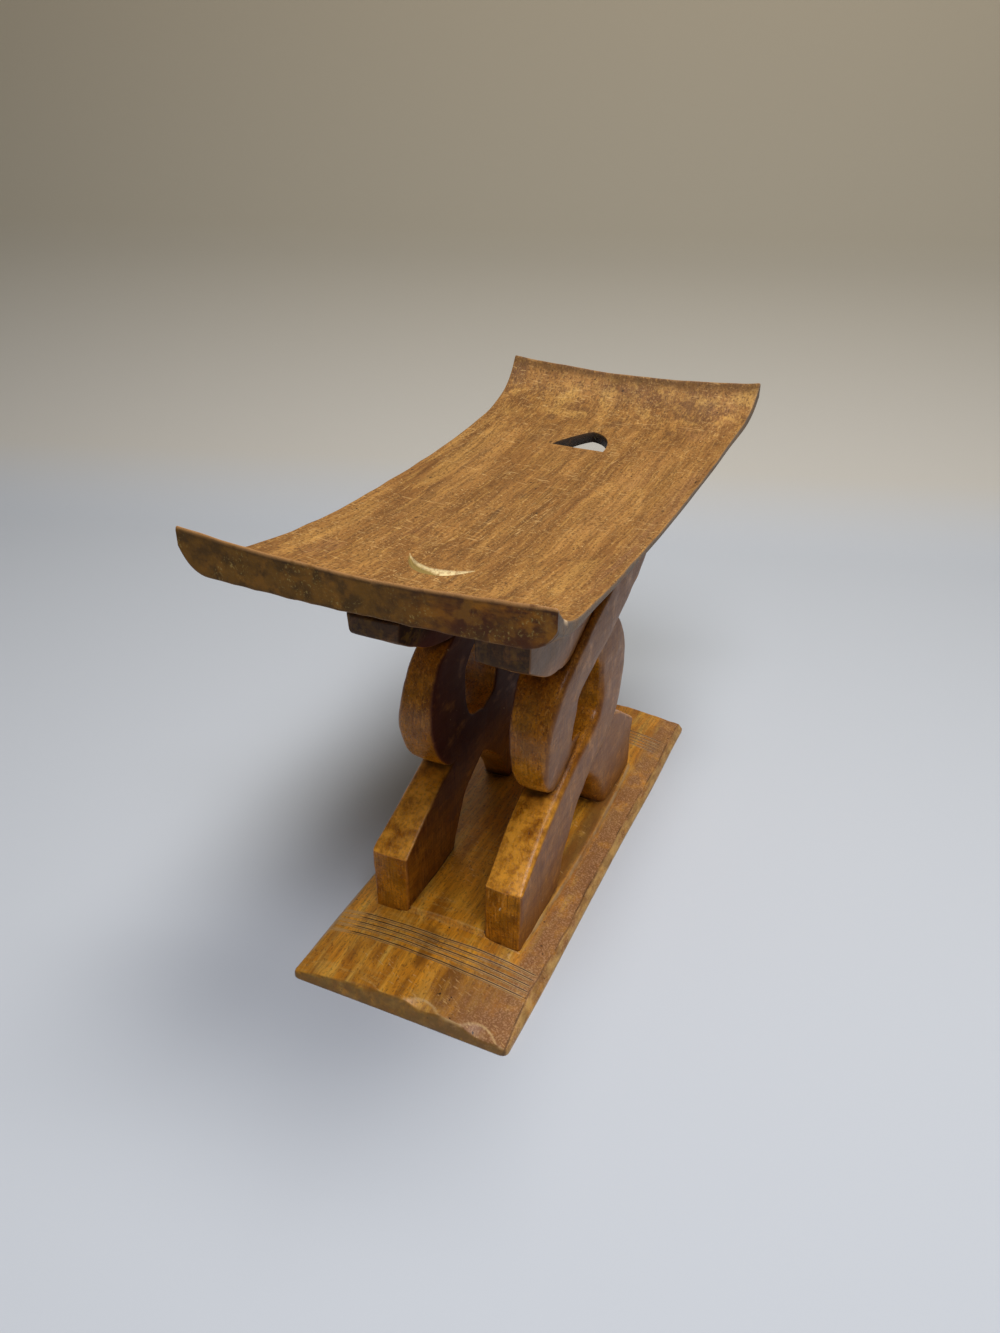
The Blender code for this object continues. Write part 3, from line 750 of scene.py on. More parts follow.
def makeStrand(name, kind, hand, seed):
    facing = 1 if kind == "front" else -1
    side = 1 if hand == "left" else -1
    places, upper, lower = strandEdges(kind, facing)
    across = lower - upper
    length = np.linalg.norm(across, axis=1)
    across = across / length[:, None]
    weave = np.clip((places - heel) / (elbow - heel), 0.0, 1.0)
    recess = smoothTable(weavePlaces, weaves[kind], weave) * strand["weaveDepth"]
    radii = {corner: np.interp(places, *strand[corner][kind]) * mm
             for corner in ("outerHigh", "outerLow", "innerLow", "innerHigh")}
    none = np.zeros(len(places))
    rows = []

    def addRow(distance, depthShare, outerInset, innerInset):
        # Points at a distance below the upper edge; depth runs from the outer face to the inner
        spot = upper + across * distance[:, None]
        z = spot[:, 1]
        outerGain, innerGain = (np.interp(z / mm, *strand[face][hand]) * mm
                                for face in ("outerGain", "innerGain"))
        outerY = faceY(z, True) - recess - outerInset + outerGain
        innerY = faceY(z, False) + innerInset - innerGain
        rows.append(np.column_stack([spot[:, 0], side * (outerY + (innerY - outerY) * depthShare), z]))

    def addCorner(corner, angles):
        for angle in angles:
            down = radii[corner] * (1 - np.cos(angle))
            inset = radii[corner] * (1 - np.sin(angle))
            distance = down if corner.endswith("High") else length - down
            if corner.startswith("outer"):
                addRow(distance, 0.0, inset, none)
            else:
                addRow(distance, 1.0, none, inset)

    arc = np.radians([0, 18, 36, 54, 72, 90])
    shares = np.linspace(0.0, 1.0, 9)[1:-1]
    bows = strand["crown"] * (1.0 - (2.0 * shares - 1.0) ** 2)
    addCorner("outerHigh", arc)
    start, end = radii["outerHigh"], length - radii["outerLow"]
    for share, bow in zip(shares, bows):
        addRow(start + (end - start) * share, 0.0, none - bow, none)
    addCorner("outerLow", arc[::-1])
    for share, bow in zip(shares, bows):
        addRow(length + bow, share, radii["outerLow"], radii["innerLow"])
    addCorner("innerLow", arc)
    start, end = length - radii["innerLow"], radii["innerHigh"]
    for share, bow in zip(shares, bows):
        addRow(start + (end - start) * share, 1.0, none, none - bow)
    addCorner("innerHigh", arc[::-1])
    for share, bow in zip(shares, bows):
        addRow(none - bow, 1.0 - share, radii["outerHigh"], radii["innerHigh"])
    piece = sleeve(name, np.stack(rows, axis=1))
    unevenSkin(piece, *strand["carving"], seed)
    unevenSkin(piece, *strand["fineCarving"], seed + 1)
    return piece


def boxCutter(low, high):
    x0, y0, z0 = low
    x1, y1, z1 = high
    ring = [(y0, z0), (y1, z0), (y1, z1), (y0, z1)]
    return sleeve("boxCutter", np.array([[(x, y, z) for y, z in ring] for x in (x0, x1)]) * mm)


def unevenSkin(piece, amount, length, seed):
    points, normals = readSkin(piece.data)
    movePoints(piece, points + normals * (swell(*points.T, length, seed) * amount)[:, None])


# What use has done to the surfaces, and painted shade and highlights, stored on the points

useAndLight = {
    "rays": 14,  # sent out from each point, to see how shut in it is
    "rayStart": 0.6 * mm,
    "rayLean": 1.05,
    "wideReach": 70 * mm,  # other wood as near as this shuts a place in
    "closeReach": 13 * mm,  # and as near as this it gets painted crevice shade
    "shutEnough": 0.12,  # to be worth a look for painted crevice shade
    # Turn of the surface per metre, and shares of the rays, at which a mark starts and is full
    "wornTurn": (60.0, 220.0),
    "creaseTurn": (60.0, 260.0),
    "paintedShade": (0.22, 0.72),
    "basePaintedShade": (0.35, 0.95),
    "paintedCreviceShade": (0.32, 0.66),
    "keptFromWear": (0.15, 0.45),
    "scored": (0.02, 0.35),  # shares of a scored line's depth
    "darkLine": 3.8 * mm,  # below the top of the seat's near end
    "bareCornerX": -235 * mm,
    "holeMiddle": (147 * mm, 8 * mm),
    "holeReach": (24 * mm, 28 * mm),
    # Where rays are sent out: below the seat's top and within a reach of its middle, and on the base within
    # a reach of its middle and above a height
    "seatRays": (6 * mm, 200 * mm),
    "baseRays": (175 * mm, 1 * mm),
    "leastGouge": 0.3 * mm,
    "seatSideY": 100 * mm,
    "baseTop": 3 * mm,  # what lies higher is the base's top
}
# Where marks start and where they are full, in millimetres. First heights, or places along and across
fades = {
    "insideShadeHeight": (40, 130),
    "footHeight": (122, 108),
    "blockHeight": (250, 264),
    "blockFront": (-70, -85),
    "creamyRight": (-9, 3),
    "creamyLeft": (28, 24),
    "farEnd": (165, 215),
    "farRim": (244.5, 247),
    "redSide": (-10, -60),
    "bareSide": (-113, -117),
    "scoreStart": (66, 74),
    "ledgeSide": (-50, -56),
    "rosySide": (-25, -50),
    "rosyEnd": (-192, -222),
    "troddenEnd": (-150, -225),
    "troddenRight": (-5, -75),
    "chipSide": (8, -2),
    # In from an edge or below the top
    "endFace": (4, 2.5),
    "endRimWornAndLit": (3.2, 2.4),
    "bareDepth": (4, 2),
    "ledgeShade": (1, 3),
    "nearEnd": (17, 14),
    # Out from the middle of a line or corner, or from the edge of the platform or a bevel
    "underRim": (0.9, 0.3),
    "bareCorner": (5, 2),
    "ledge": (1.1, 0.4),
    "bevelCrease": (0.9, 0.1),
    "chipEdge": (0.55, 0.15),
    "troddenSide": (0, 8),
    "bevel": (-0.4, 0.6),
}


def fade(name, value):
    # 0 where the mark starts, 1 where it is full
    start, full = fades[name]
    return between(value, start * mm, full * mm)


def surfaceTurn(mesh):
    # How sharply the surface turns outwards, per metre: 0 on the flat, and below 0 in a hollow
    points, normals = readSkin(mesh)
    ends = np.zeros(len(mesh.edges) * 2, dtype=int)
    mesh.edges.foreach_get("vertices", ends)
    first, second = ends.reshape(-1, 2).T
    run = points[second] - points[first]
    square = np.maximum(np.einsum("ij,ij->i", run, run), (0.1 * mm) ** 2)
    turn = np.zeros(len(points))
    count = np.zeros(len(points))
    for here, sign in ((first, -1.0), (second, 1.0)):
        np.add.at(turn, here, sign * np.einsum("ij,ij->i", normals[here], run) / square)
        np.add.at(count, here, 1.0)
    turn = turn / np.maximum(count, 1.0)
    for _ in range(3):
        total = turn.copy()
        np.add.at(total, first, turn[second])
        np.add.at(total, second, turn[first])
        turn = total / (count + 1.0)
    return turn


def hollowness(mesh, tree, reach, wanted):
    # Share of the rays from each point that soon meet wood, from 0 in the open to 1 shut in
    points, normals = readSkin(mesh)
    random = np.random.RandomState(17)
    rays = random.normal(size=(useAndLight["rays"], 3))
    rays /= np.linalg.norm(rays, axis=1)[:, None]
    shut = np.zeros(len(points))
    for index in np.flatnonzero(wanted):
        normal = normals[index]
        origin = Vector(points[index] + normal * useAndLight["rayStart"])
        hits = 0.0
        for ray in rays + normal * useAndLight["rayLean"]:
            hit = tree.ray_cast(origin, Vector(ray), reach)
            if hit[0] is not None:
                hits += 1.0 - 0.5 * hit[3] / reach
        shut[index] = hits / len(rays)
    return shut


def wholeTree(pieces):
    points, faces, offset = [], [], 0
    for piece in pieces:
        points += [vertex.co.copy() for vertex in piece.data.vertices]
        faces += [[corner + offset for corner in face.vertices] for face in piece.data.polygons]
        offset += len(piece.data.vertices)
    return BVHTree.FromPolygons(points, faces)


def commonUseAndLight(mesh, normals, tree, wanted, paintedShade):
    # Painted shade in the hollows and creases, wear with a painted highlight on the edges, and end grain
    turn = surfaceTurn(mesh)
    shut = hollowness(mesh, tree, useAndLight["wideReach"], wanted)
    pinched = hollowness(mesh, tree, useAndLight["closeReach"], shut > useAndLight["shutEnough"])
    return {
        # Painted shade: darkens places that other wood shuts in, and creases
        "paintedShade": np.maximum(between(shut, *paintedShade), between(-turn, *useAndLight["creaseTurn"]) * 0.7),
        # Painted shade: darkens tight crevices where other wood lies very near
        "paintedCreviceShade": between(pinched, *useAndLight["paintedCreviceShade"]),
        # Lightens outward edges: partly real wear, partly a painted highlight; kept off shut-in places
        "wear": between(turn, *useAndLight["wornTurn"]) * (1.0 - between(shut, *useAndLight["keptFromWear"])),
        "endGrain": between(np.abs(normals[:, 0]), 0.72, 0.92),
    }


def strokeUse(x, y, tables, seed, kept):
    # Each table of strokes with a seed of its own, on the surface that is to keep them
    return {name: strokes(x, y, table, seed + index) * kept
            for index, (name, table) in enumerate(tables.items())}


def strandUseAndLight(mesh, x, y, z, normals, tree):
    inwards = -np.sign(y) * normals[:, 1]
    onBlock = fade("blockHeight", z)
    outwardSide = between(-inwards, 0.3, 0.8) * onBlock
    return commonUseAndLight(mesh, normals, tree, np.full(len(x), True), useAndLight["paintedShade"]) | {
        # Painted shade: darkens faces turned in towards the other panel, more towards the seat
        "inside": between(inwards, 0.2, 0.7) * (0.35 + 0.65 * fade("insideShadeHeight", z)),
        "outside": between(-inwards, 0.3, 0.8),
        # Painted light: marks the upward sloping foot tops, which are lightened as if more light fell on
        # them
        "footTop": between(normals[:, 2], 0.25, 0.6) * fade("footHeight", z),
        # Painted shade: darkens the blocks under the seat, all but their outward sides
        "block": onBlock - 0.85 * outwardSide,
        # Painted reflection: a grey glare on the blocks' outward sides, towards the front
        "blockSide": outwardSide * fade("blockFront", x),
    }


def seatUseAndLight(mesh, x, y, z, normals, tree):
    belowTop = seatTopZ(x, y) - z
    depth, reach = useAndLight["seatRays"]
    wanted = (belowTop > depth) & (np.abs(x) < reach)
    onTop = normals[:, 2] > 0.2
    # The gouge shows fresh wood on its far side; its near side is darker olive, painted shade for its steep
    # wall
    share, width = gougeShares(x, y)
    gouged = between(share, 0.0, 0.06) * between(-share, -1.02, -0.97) * onTop
    gouged = gouged * (width > useAndLight["leastGouge"])
    creamy = 0.45 + 0.37 * fade("creamyRight", y) * fade("creamyLeft", y)
    endFace = fade("endFace", seat["halfLength"] + x)
    corner = fade("bareCorner", np.abs(x - useAndLight["bareCornerX"])) * fade("bareSide", y)
    (holeX, holeY), (reachX, reachY) = useAndLight["holeMiddle"], useAndLight["holeReach"]
    inHole = (np.abs(x - holeX) < reachX) & (np.abs(y - holeY) < reachY)
    marks = commonUseAndLight(mesh, normals, tree, wanted, useAndLight["paintedShade"])
    return marks | strokeUse(x, y, seatStrokes, 51, onTop) | {
        "fresh": gouged * between(share - creamy, -0.06, 0.10),
        "shadedGougeSide": gouged * between(creamy - share, -0.1, 0.06),
        "farEnd": fade("farEnd", x) * onTop,
        "farRim": fade("farRim", x) * onTop,
        "redEnd": endFace * fade("redSide", y),
        # Lighter strip along the near end's top edge: partly wear, partly a painted highlight where the
        # rounded edge catches the light
        "endRimWornAndLit": endFace * fade("endRimWornAndLit", belowTop),
        "underRim": endFace * fade("underRim", np.abs(belowTop - useAndLight["darkLine"])),
        "bareCorner": corner * fade("bareDepth", belowTop),
        # Painted reflection: a cool grey sheen on the seat's long side faces
        "sideFace": between(-normals[:, 1], 0.55, 0.85) * (np.abs(y) > useAndLight["seatSideY"]),
        "holeWall": inHole * between(0.5 - normals[:, 2], 0.0, 0.4) * (normals[:, 2] > -0.9),
    }


def baseUseAndLight(mesh, x, y, z, normals, tree):
    reach, height = useAndLight["baseRays"]
    wanted = (np.abs(x) < reach) & (z > height)
    onTop = z > useAndLight["baseTop"]
    scored = between(scoreShape(x, y), *useAndLight["scored"]) * onTop
    rubbedStart = fade("scoreStart", y)
    # One line of each pair is painted pale instead of dark, a painted highlight for a ridge that catches the
    # light
    highlightedTwin = 0.65 * between(scoreShape(x, y, (-0.5,)), *useAndLight["scored"]) * onTop
    ledge = platformInset(x, y)[0]
    beside = (y < 0.0) * (np.abs(x - panelMiddle) < panelReach - 2 * mm)
    outer = fade("troddenSide", -y - base["platformHalfWidth"])
    frontCorner = fade("troddenEnd", x) * fade("troddenRight", y)
    inward, width = base["halfWidth"] - np.abs(y), bevelWidth(x)
    lipGap = np.abs(domeZ(x, y) - endFacets(x, y, base["halfLength"]))
    nearEnd = fade("nearEnd", base["halfLength"] + x)
    # Painted highlight: the upper edges of the chips out of the near end, where they meet the dome
    rubbed = fade("chipEdge", lipGap) * nearEnd * (normals[:, 2] > 0.5)
    marks = commonUseAndLight(mesh, normals, tree, wanted, useAndLight["basePaintedShade"])
    return marks | strokeUse(x, y, baseStrokes, 55, onTop) | {
        "scored": scored * (1.0 - 0.9 * rubbedStart) * (1.0 - highlightedTwin),
        "paleScores": np.maximum(scored * rubbedStart, 0.55 * highlightedTwin),
        # Painted highlight: a pale line along the platform's edge beside the right feet
        "ledge": beside * fade("ledge", np.abs(ledge - 0.2 * mm)),
        "ledgeShade": beside * fade("ledgeShade", ledge) * fade("ledgeSide", y),
        "rosy": fade("rosySide", y) * fade("rosyEnd", x) * onTop,
        "trodden": np.maximum(outer, frontCorner) * onTop,
        "bevel": fade("bevel", width - inward),
        # Painted shade: a dark line along the inner edge of the right bevel
        "paintedCreaseShade": fade("bevelCrease", np.abs(inward - width - 0.5 * mm)) * (y < 0),
        "chips": rubbed * fade("chipSide", y),
        "underLip": nearEnd * between(-normals[:, 0], 0.45, 0.75),
    }


def storeUseAndLight(piece, findUseAndLight, tree):
    points, normals = readSkin(piece.data)
    for name, values in findUseAndLight(piece.data, *points.T, normals, tree).items():
        attribute = piece.data.attributes.new(name, "FLOAT", "POINT")
        attribute.data.foreach_set("value", np.ascontiguousarray(values, dtype=np.float32))


# Materials


def toLinear(hexColour):
    channels = [int(hexColour[place:place + 2], 16) / 255 for place in (1, 3, 5)]
    linear = [c / 12.92 if c <= 0.04045 else ((c + 0.055) / 1.055) ** 2.4 for c in channels]
    return (*linear, 1.0)


def addNode(tree, kind, settings=None, links=None, out=0, stops=None):
    # Adds a node, sets it up, links it to what comes before, and gives back one of its outputs
    node = tree.nodes.new("ShaderNode" + kind)
    for key, value in (settings or {}).items():
        if isinstance(key, str) and hasattr(node, key):
            setattr(node, key, value)
        else:
            node.inputs[key].default_value = value
    for key, socket in (links or {}).items():
        tree.links.new(socket, node.inputs[key])
    if stops:
        elements = node.color_ramp.elements
        elements.remove(elements[1])
        elements[0].position = stops[0][0]
        elements[0].color = toLinear(stops[0][1])
        for position, colour in stops[1:]:
            elements.new(position).color = toLinear(colour)
    return node.outputs[out]


def carvedWood(name, look):
    # One block of close-grained hardwood, cut with blades, stained by handling, and waxed; some of its marks
    # are painted shade, highlights and reflections
    material = bpy.data.materials.new(name)
    material.use_nodes = True
    tree = material.node_tree
    shader = tree.nodes["Principled BSDF"]
    place = addNode(tree, "TexCoord", out="Object")
    drift = (look["sway"],) * 3
    settings = {"Scale": 1 / look["swayLength"], "Detail": 1.5}
    sway = addNode(tree, "TexNoise", settings, {"Vector": place}, "Color")
    grainPlace = addNode(tree, "VectorMath", {"operation": "MULTIPLY_ADD", 1: drift}, {0: sway, 2: place})
    settings = {"vector_type": "TEXTURE", "Scale": (look["figureStretch"], 1, 1)}
    figurePlace = addNode(tree, "Mapping", settings, {"Vector": grainPlace})
    settings = {"Scale": 1 / look["figureSize"], "Detail": 4, "Roughness": 0.55}
    figure = addNode(tree, "TexNoise", settings, {"Vector": figurePlace})
    colour = addNode(tree, "ValToRGB", {}, {"Fac": figure}, stops=look["figure"])
    roughness, height = None, None
    for index, mark in enumerate(look["marks"]):
        label, where, size, stretch, detail, low, high, tint, strength, *rest = mark
        extra = rest[0] if rest else {}
        settings = {"vector_type": "TEXTURE", "Scale": (stretch, 1, 1),
                    "Location": (0.37 * index, 0.91 * index, 0.53 * index),
                    "Rotation": [math.radians(angle) for angle in extra.get("turn", (0, 0, 0))]}
        spot = addNode(tree, "Mapping", settings, {"Vector": grainPlace})
        settings = {"label": label, "Scale": 1 / (size * mm), "Detail": detail, "Roughness": 0.55}
        noise = addNode(tree, "TexNoise", settings, {"Vector": spot})
        mask = addNode(tree, "MapRange", {1: low, 2: high, 3: 0.0, 4: strength}, {0: noise})
        if where:
            stored = addNode(tree, "Attribute", {"attribute_name": where}, {}, "Fac")
            mask = addNode(tree, "Math", {"operation": "MULTIPLY"}, {0: mask, 1: stored})
        if "patches" in extra:
            size, low, high = extra["patches"]
            patch = addNode(tree, "TexNoise", {"Scale": 1 / (size * mm), "Detail": 1}, {"Vector": spot})
            share = addNode(tree, "MapRange", {1: low, 2: high}, {0: patch})
            mask = addNode(tree, "Math", {"operation": "MULTIPLY"}, {0: mask, 1: share})
        settings = {"data_type": "RGBA", 7: toLinear(tint)}
        colour = addNode(tree, "Mix", settings, {0: mask, 6: colour}, 2)
        if "relief" in extra:
            settings = {"operation": "MULTIPLY_ADD", 1: extra["relief"] * mm}
            height = addNode(tree, "Math", settings, {0: mask, 2: height} if height else {0: mask})
        if "roughness" in extra:
            settings = {"operation": "MULTIPLY_ADD", 1: extra["roughness"], 2: look["roughness"]}
            links = {0: mask, 2: roughness} if roughness else {0: mask}
            roughness = addNode(tree, "Math", settings, links)
    bump = addNode(tree, "Bump", {"Strength": 1.0, "Distance": 1.0}, {"Height": height})
    for name, socket in (("Base Color", colour), ("Roughness", roughness), ("Normal", bump)):
        tree.links.new(socket, shader.inputs[name])
    for name, value in (("Metallic", 0.0), ("IOR", look["ior"]), ("Coat Weight", look["coat"]),
                        ("Coat Roughness", look["coatRoughness"])):
        shader.inputs[name].default_value = value
    return material


# In the marks below: name; the stored marks of use that they keep to, if any; size in mm, stretch along
# the grain and detail of the pattern; where in it the mark starts and is full; colour; strength. Then, for
# some: a turn in degrees; the size in mm and range of the patches that they come in; relief in mm; and
# roughness. Real fibres, pores and scratches are as fine as 0.1 to 0.3 mm, too fine to show from here, so
# they are drawn as coarse as they need to show.

# The seat's top: dry to the touch, scuffed both ways, its wax worn away in the middle
seatWood = {
    "swayLength": 80 * mm, "sway": 6 * mm, "figureStretch": 12, "figureSize": 14 * mm,
    "figure": [(0.28, "#6F451D"), (0.45, "#90612D"), (0.58, "#A57338"), (0.75, "#B98546")],
    "roughness": 0.54, "ior": 1.36, "coat": 0.0, "coatRoughness": 0.35,
    "marks": [
        ("golden bands", "golden", 6, 12, 3, 0.3, 0.6, "#C4924A", 0.65),
        ("rosy bands", "rosy", 7, 10, 3, 0.3, 0.65, "#946846", 0.6, {"roughness": -0.05}),
        ("broad shades", "", 26, 4, 3, 0.44, 0.66, "#825624", 0.65),
        ("dark streaks", "", 6, 18, 3, 0.52, 0.68, "#64411C", 0.62, {"patches": (50, 0.42, 0.56)}),
        ("stains", "stained", 4, 10, 3, 0.28, 0.58, "#573C23", 0.75),
        ("dark end", "darkEnd", 6, 2, 4, 0.34, 0.58, "#583A24", 0.7),
        ("mottled end", "farEnd", 16, 1, 4, 0.48, 0.62, "#6B4524", 0.65),
        ("pale end", "farEnd", 20, 1, 5, 0.52, 0.66, "#CC9C50", 0.7, {"turn": (0, 0, 60)}),
        ("dark far rim", "farRim", 9, 1, 3, 0.2, 0.5, "#5A3A20", 0.8),
        ("fibres", "", 2.2, 24, 4, 0.42, 0.64, "#5B3915", 0.48, {"relief": -0.1, "roughness": 0.12}),
        ("light fibres", "", 2.2, 22, 4, 0.52, 0.68, "#C5944A", 0.4),
        ("dark stipple", "", 1.7, 1.8, 3, 0.53, 0.64, "#543513", 0.66, {"relief": -0.14}),
        ("pale stipple", "", 1.7, 1.6, 3, 0.58, 0.67, "#D4A968", 0.38,
         {"turn": (0, 0, 35), "patches": (50, 0.34, 0.52)}),
        ("scuffs across", "", 1.8, 7, 2, 0.62, 0.67, "#D0A668", 0.5,
         {"turn": (0, 0, 84), "patches": (40, 0.42, 0.54), "roughness": 0.1}),
        ("scratches along", "", 1.5, 14, 2, 0.66, 0.7, "#D3A86A", 0.6,
         {"turn": (0, 0, -6), "patches": (46, 0.46, 0.58)}),
        ("wax in the pores", "", 2.2, 1.7, 2, 0.68, 0.72, "#DAB373", 0.65,
         {"turn": (0, 0, 50), "patches": (36, 0.46, 0.58)}),
        ("dark specks", "", 5, 1.3, 1, 0.745, 0.775, "#341D0B", 0.85),
        # Partly real wear, partly a painted highlight on the edges
        ("worn and highlighted edges", "wear", 9, 3, 2, 0.3, 0.62, "#A4763F", 0.7, {"roughness": -0.14}),
        # Painted shade in the hollows
        ("painted shade in hollows", "paintedShade", 12, 1, 2, 0.15, 0.55, "#2A1409", 0.9),
        ("end grain", "endGrain", 26, 1, 4, 0.1, 0.4, "#6B470B", 0.95, {"roughness": 0.1}),
        ("end grain, darker", "endGrain", 11, 1, 4, 0.44, 0.6, "#402A06", 0.74),
        ("end grain, redder", "redEnd", 15, 1, 5, 0.26, 0.58, "#481F02", 0.92),
        ("end grain, rubbed", "endGrain", 8, 1, 5, 0.5, 0.62, "#835615", 0.65,
         {"patches": (34, 0.44, 0.56)}),
        ("end grain, golden", "redEnd", 7, 2, 5, 0.42, 0.6, "#B8740E", 0.42,
         {"turn": (0, 0, 90), "patches": (22, 0.46, 0.56)}),
        # Painted reflection on the side faces
        ("painted reflection on the seat sides", "sideFace", 10, 1, 3, 0.15, 0.5, "#6C6258", 0.75),
        ("shaded hole", "holeWall", 9, 1, 2, 0.1, 0.4, "#2E2622", 0.9),
        ("end grain, bare", "endGrain", 1.7, 1, 4, 0.57, 0.66, "#A68E50", 0.5,
         {"patches": (26, 0.44, 0.56)}),
        # Partly wear, partly a painted highlight on the near rim
        ("worn and highlighted end rim", "endRimWornAndLit", 7, 1, 3, 0.2, 0.5, "#A87A4A", 0.85, {"roughness": -0.1}),
        ("dark line under the rim", "underRim", 9, 1, 2, 0.3, 0.55, "#2A1A08", 0.55),
        ("bare corner", "bareCorner", 5, 1, 3, 0.25, 0.45, "#E2C096", 1),
        # Painted shade on the gouge's near side
        ("painted shade in the gouge", "shadedGougeSide", 4, 1, 2, 0.1, 0.4, "#86703A", 0.95),
        ("fresh wood", "fresh", 3, 1, 2, 0.2, 0.5, "#DCC691", 1, {"roughness": 0.2}),
    ],
}
# The strands: waxed until they shine; their inner faces carry painted shade, deepest up under the seat, and
# are rougher where no cloth reaches
legWood = {
    "swayLength": 70 * mm, "sway": 8 * mm, "figureStretch": 3, "figureSize": 16 * mm,
    "figure": [(0.28, "#945305"), (0.48, "#B96F0B"), (0.66, "#D28514")],
    "roughness": 0.27, "ior": 1.40, "coat": 0.0, "coatRoughness": 0.2,
    "marks": [
        ("amber patches", "", 30, 1, 2, 0.44, 0.66, "#DD9025", 0.88),
        ("dark patches", "", 10, 1, 4, 0.5, 0.68, "#6C3906", 0.55),
        ("fibres", "", 2, 14, 4, 0.44, 0.64, "#61330C", 0.35, {"relief": -0.06, "roughness": 0.1}),
        ("pores", "", 1.6, 2, 3, 0.56, 0.65, "#40220A", 0.55, {"relief": -0.1}),
        ("scraper lines", "", 1.7, 18, 3, 0.5, 0.64, "#603304", 0.55,
         {"turn": (0, 90, 0), "relief": -0.05}),
        ("rubbed lines", "", 2, 15, 3, 0.56, 0.66, "#E2993F", 0.62,
         {"turn": (0, 84, 8), "patches": (26, 0.44, 0.58)}),
        ("light flecks", "", 1.8, 2, 2, 0.62, 0.69, "#E2A144", 0.55),
        # Partly real wear, partly a painted highlight on the edges
        ("worn and highlighted edges", "wear", 10, 1, 3, 0.16, 0.42, "#ED9944", 0.8, {"roughness": -0.1}),
        ("end grain", "endGrain", 11, 1, 4, 0.42, 0.62, "#81520B", 0.55),
        # Painted shade in the hollows
        ("painted shade in hollows", "paintedShade", 14, 1, 2, 0.1, 0.5, "#300D04", 0.95, {"roughness": 0.12}),
        ("shaded outside", "outside", 14, 1, 3, 0.15, 0.5, "#724014", 0.68, {"roughness": 0.22}),
        # Painted light on the foot tops
        ("painted light on the foot tops", "footTop", 12, 1, 5, 0.34, 0.6, "#FDAE38", 0.92),
        ("fine mottling", "footTop", 3.2, 1, 4, 0.48, 0.62, "#99560C", 0.5),
        # Painted shade on the inner faces, which are also rougher
        ("unpolished inside, with painted shade", "inside", 16, 2, 3, 0.08, 0.46, "#440A00", 0.94, {"roughness": 0.45}),
        # Painted shade on the blocks under the seat
        ("painted shade on the blocks", "block", 12, 1, 4, 0.08, 0.46, "#271401", 0.88, {"roughness": 0.34}),
        ("block mottles", "block", 7, 1, 5, 0.5, 0.64, "#8E6410", 0.5, {"patches": (20, 0.42, 0.54)}),
        # Painted reflection: grey glare on the block sides
        ("painted glare on the block sides", "blockSide", 9, 1, 3, 0.1, 0.45, "#6C5640", 0.6),
        # Painted shade in the crevices
        ("painted crevice shade", "paintedCreviceShade", 9, 1, 2, 0.15, 0.5, "#1C0B04", 0.8),
        ("dust specks", "", 5, 1, 1, 0.8, 0.81, "#D8C49C", 0.8),
    ],
}
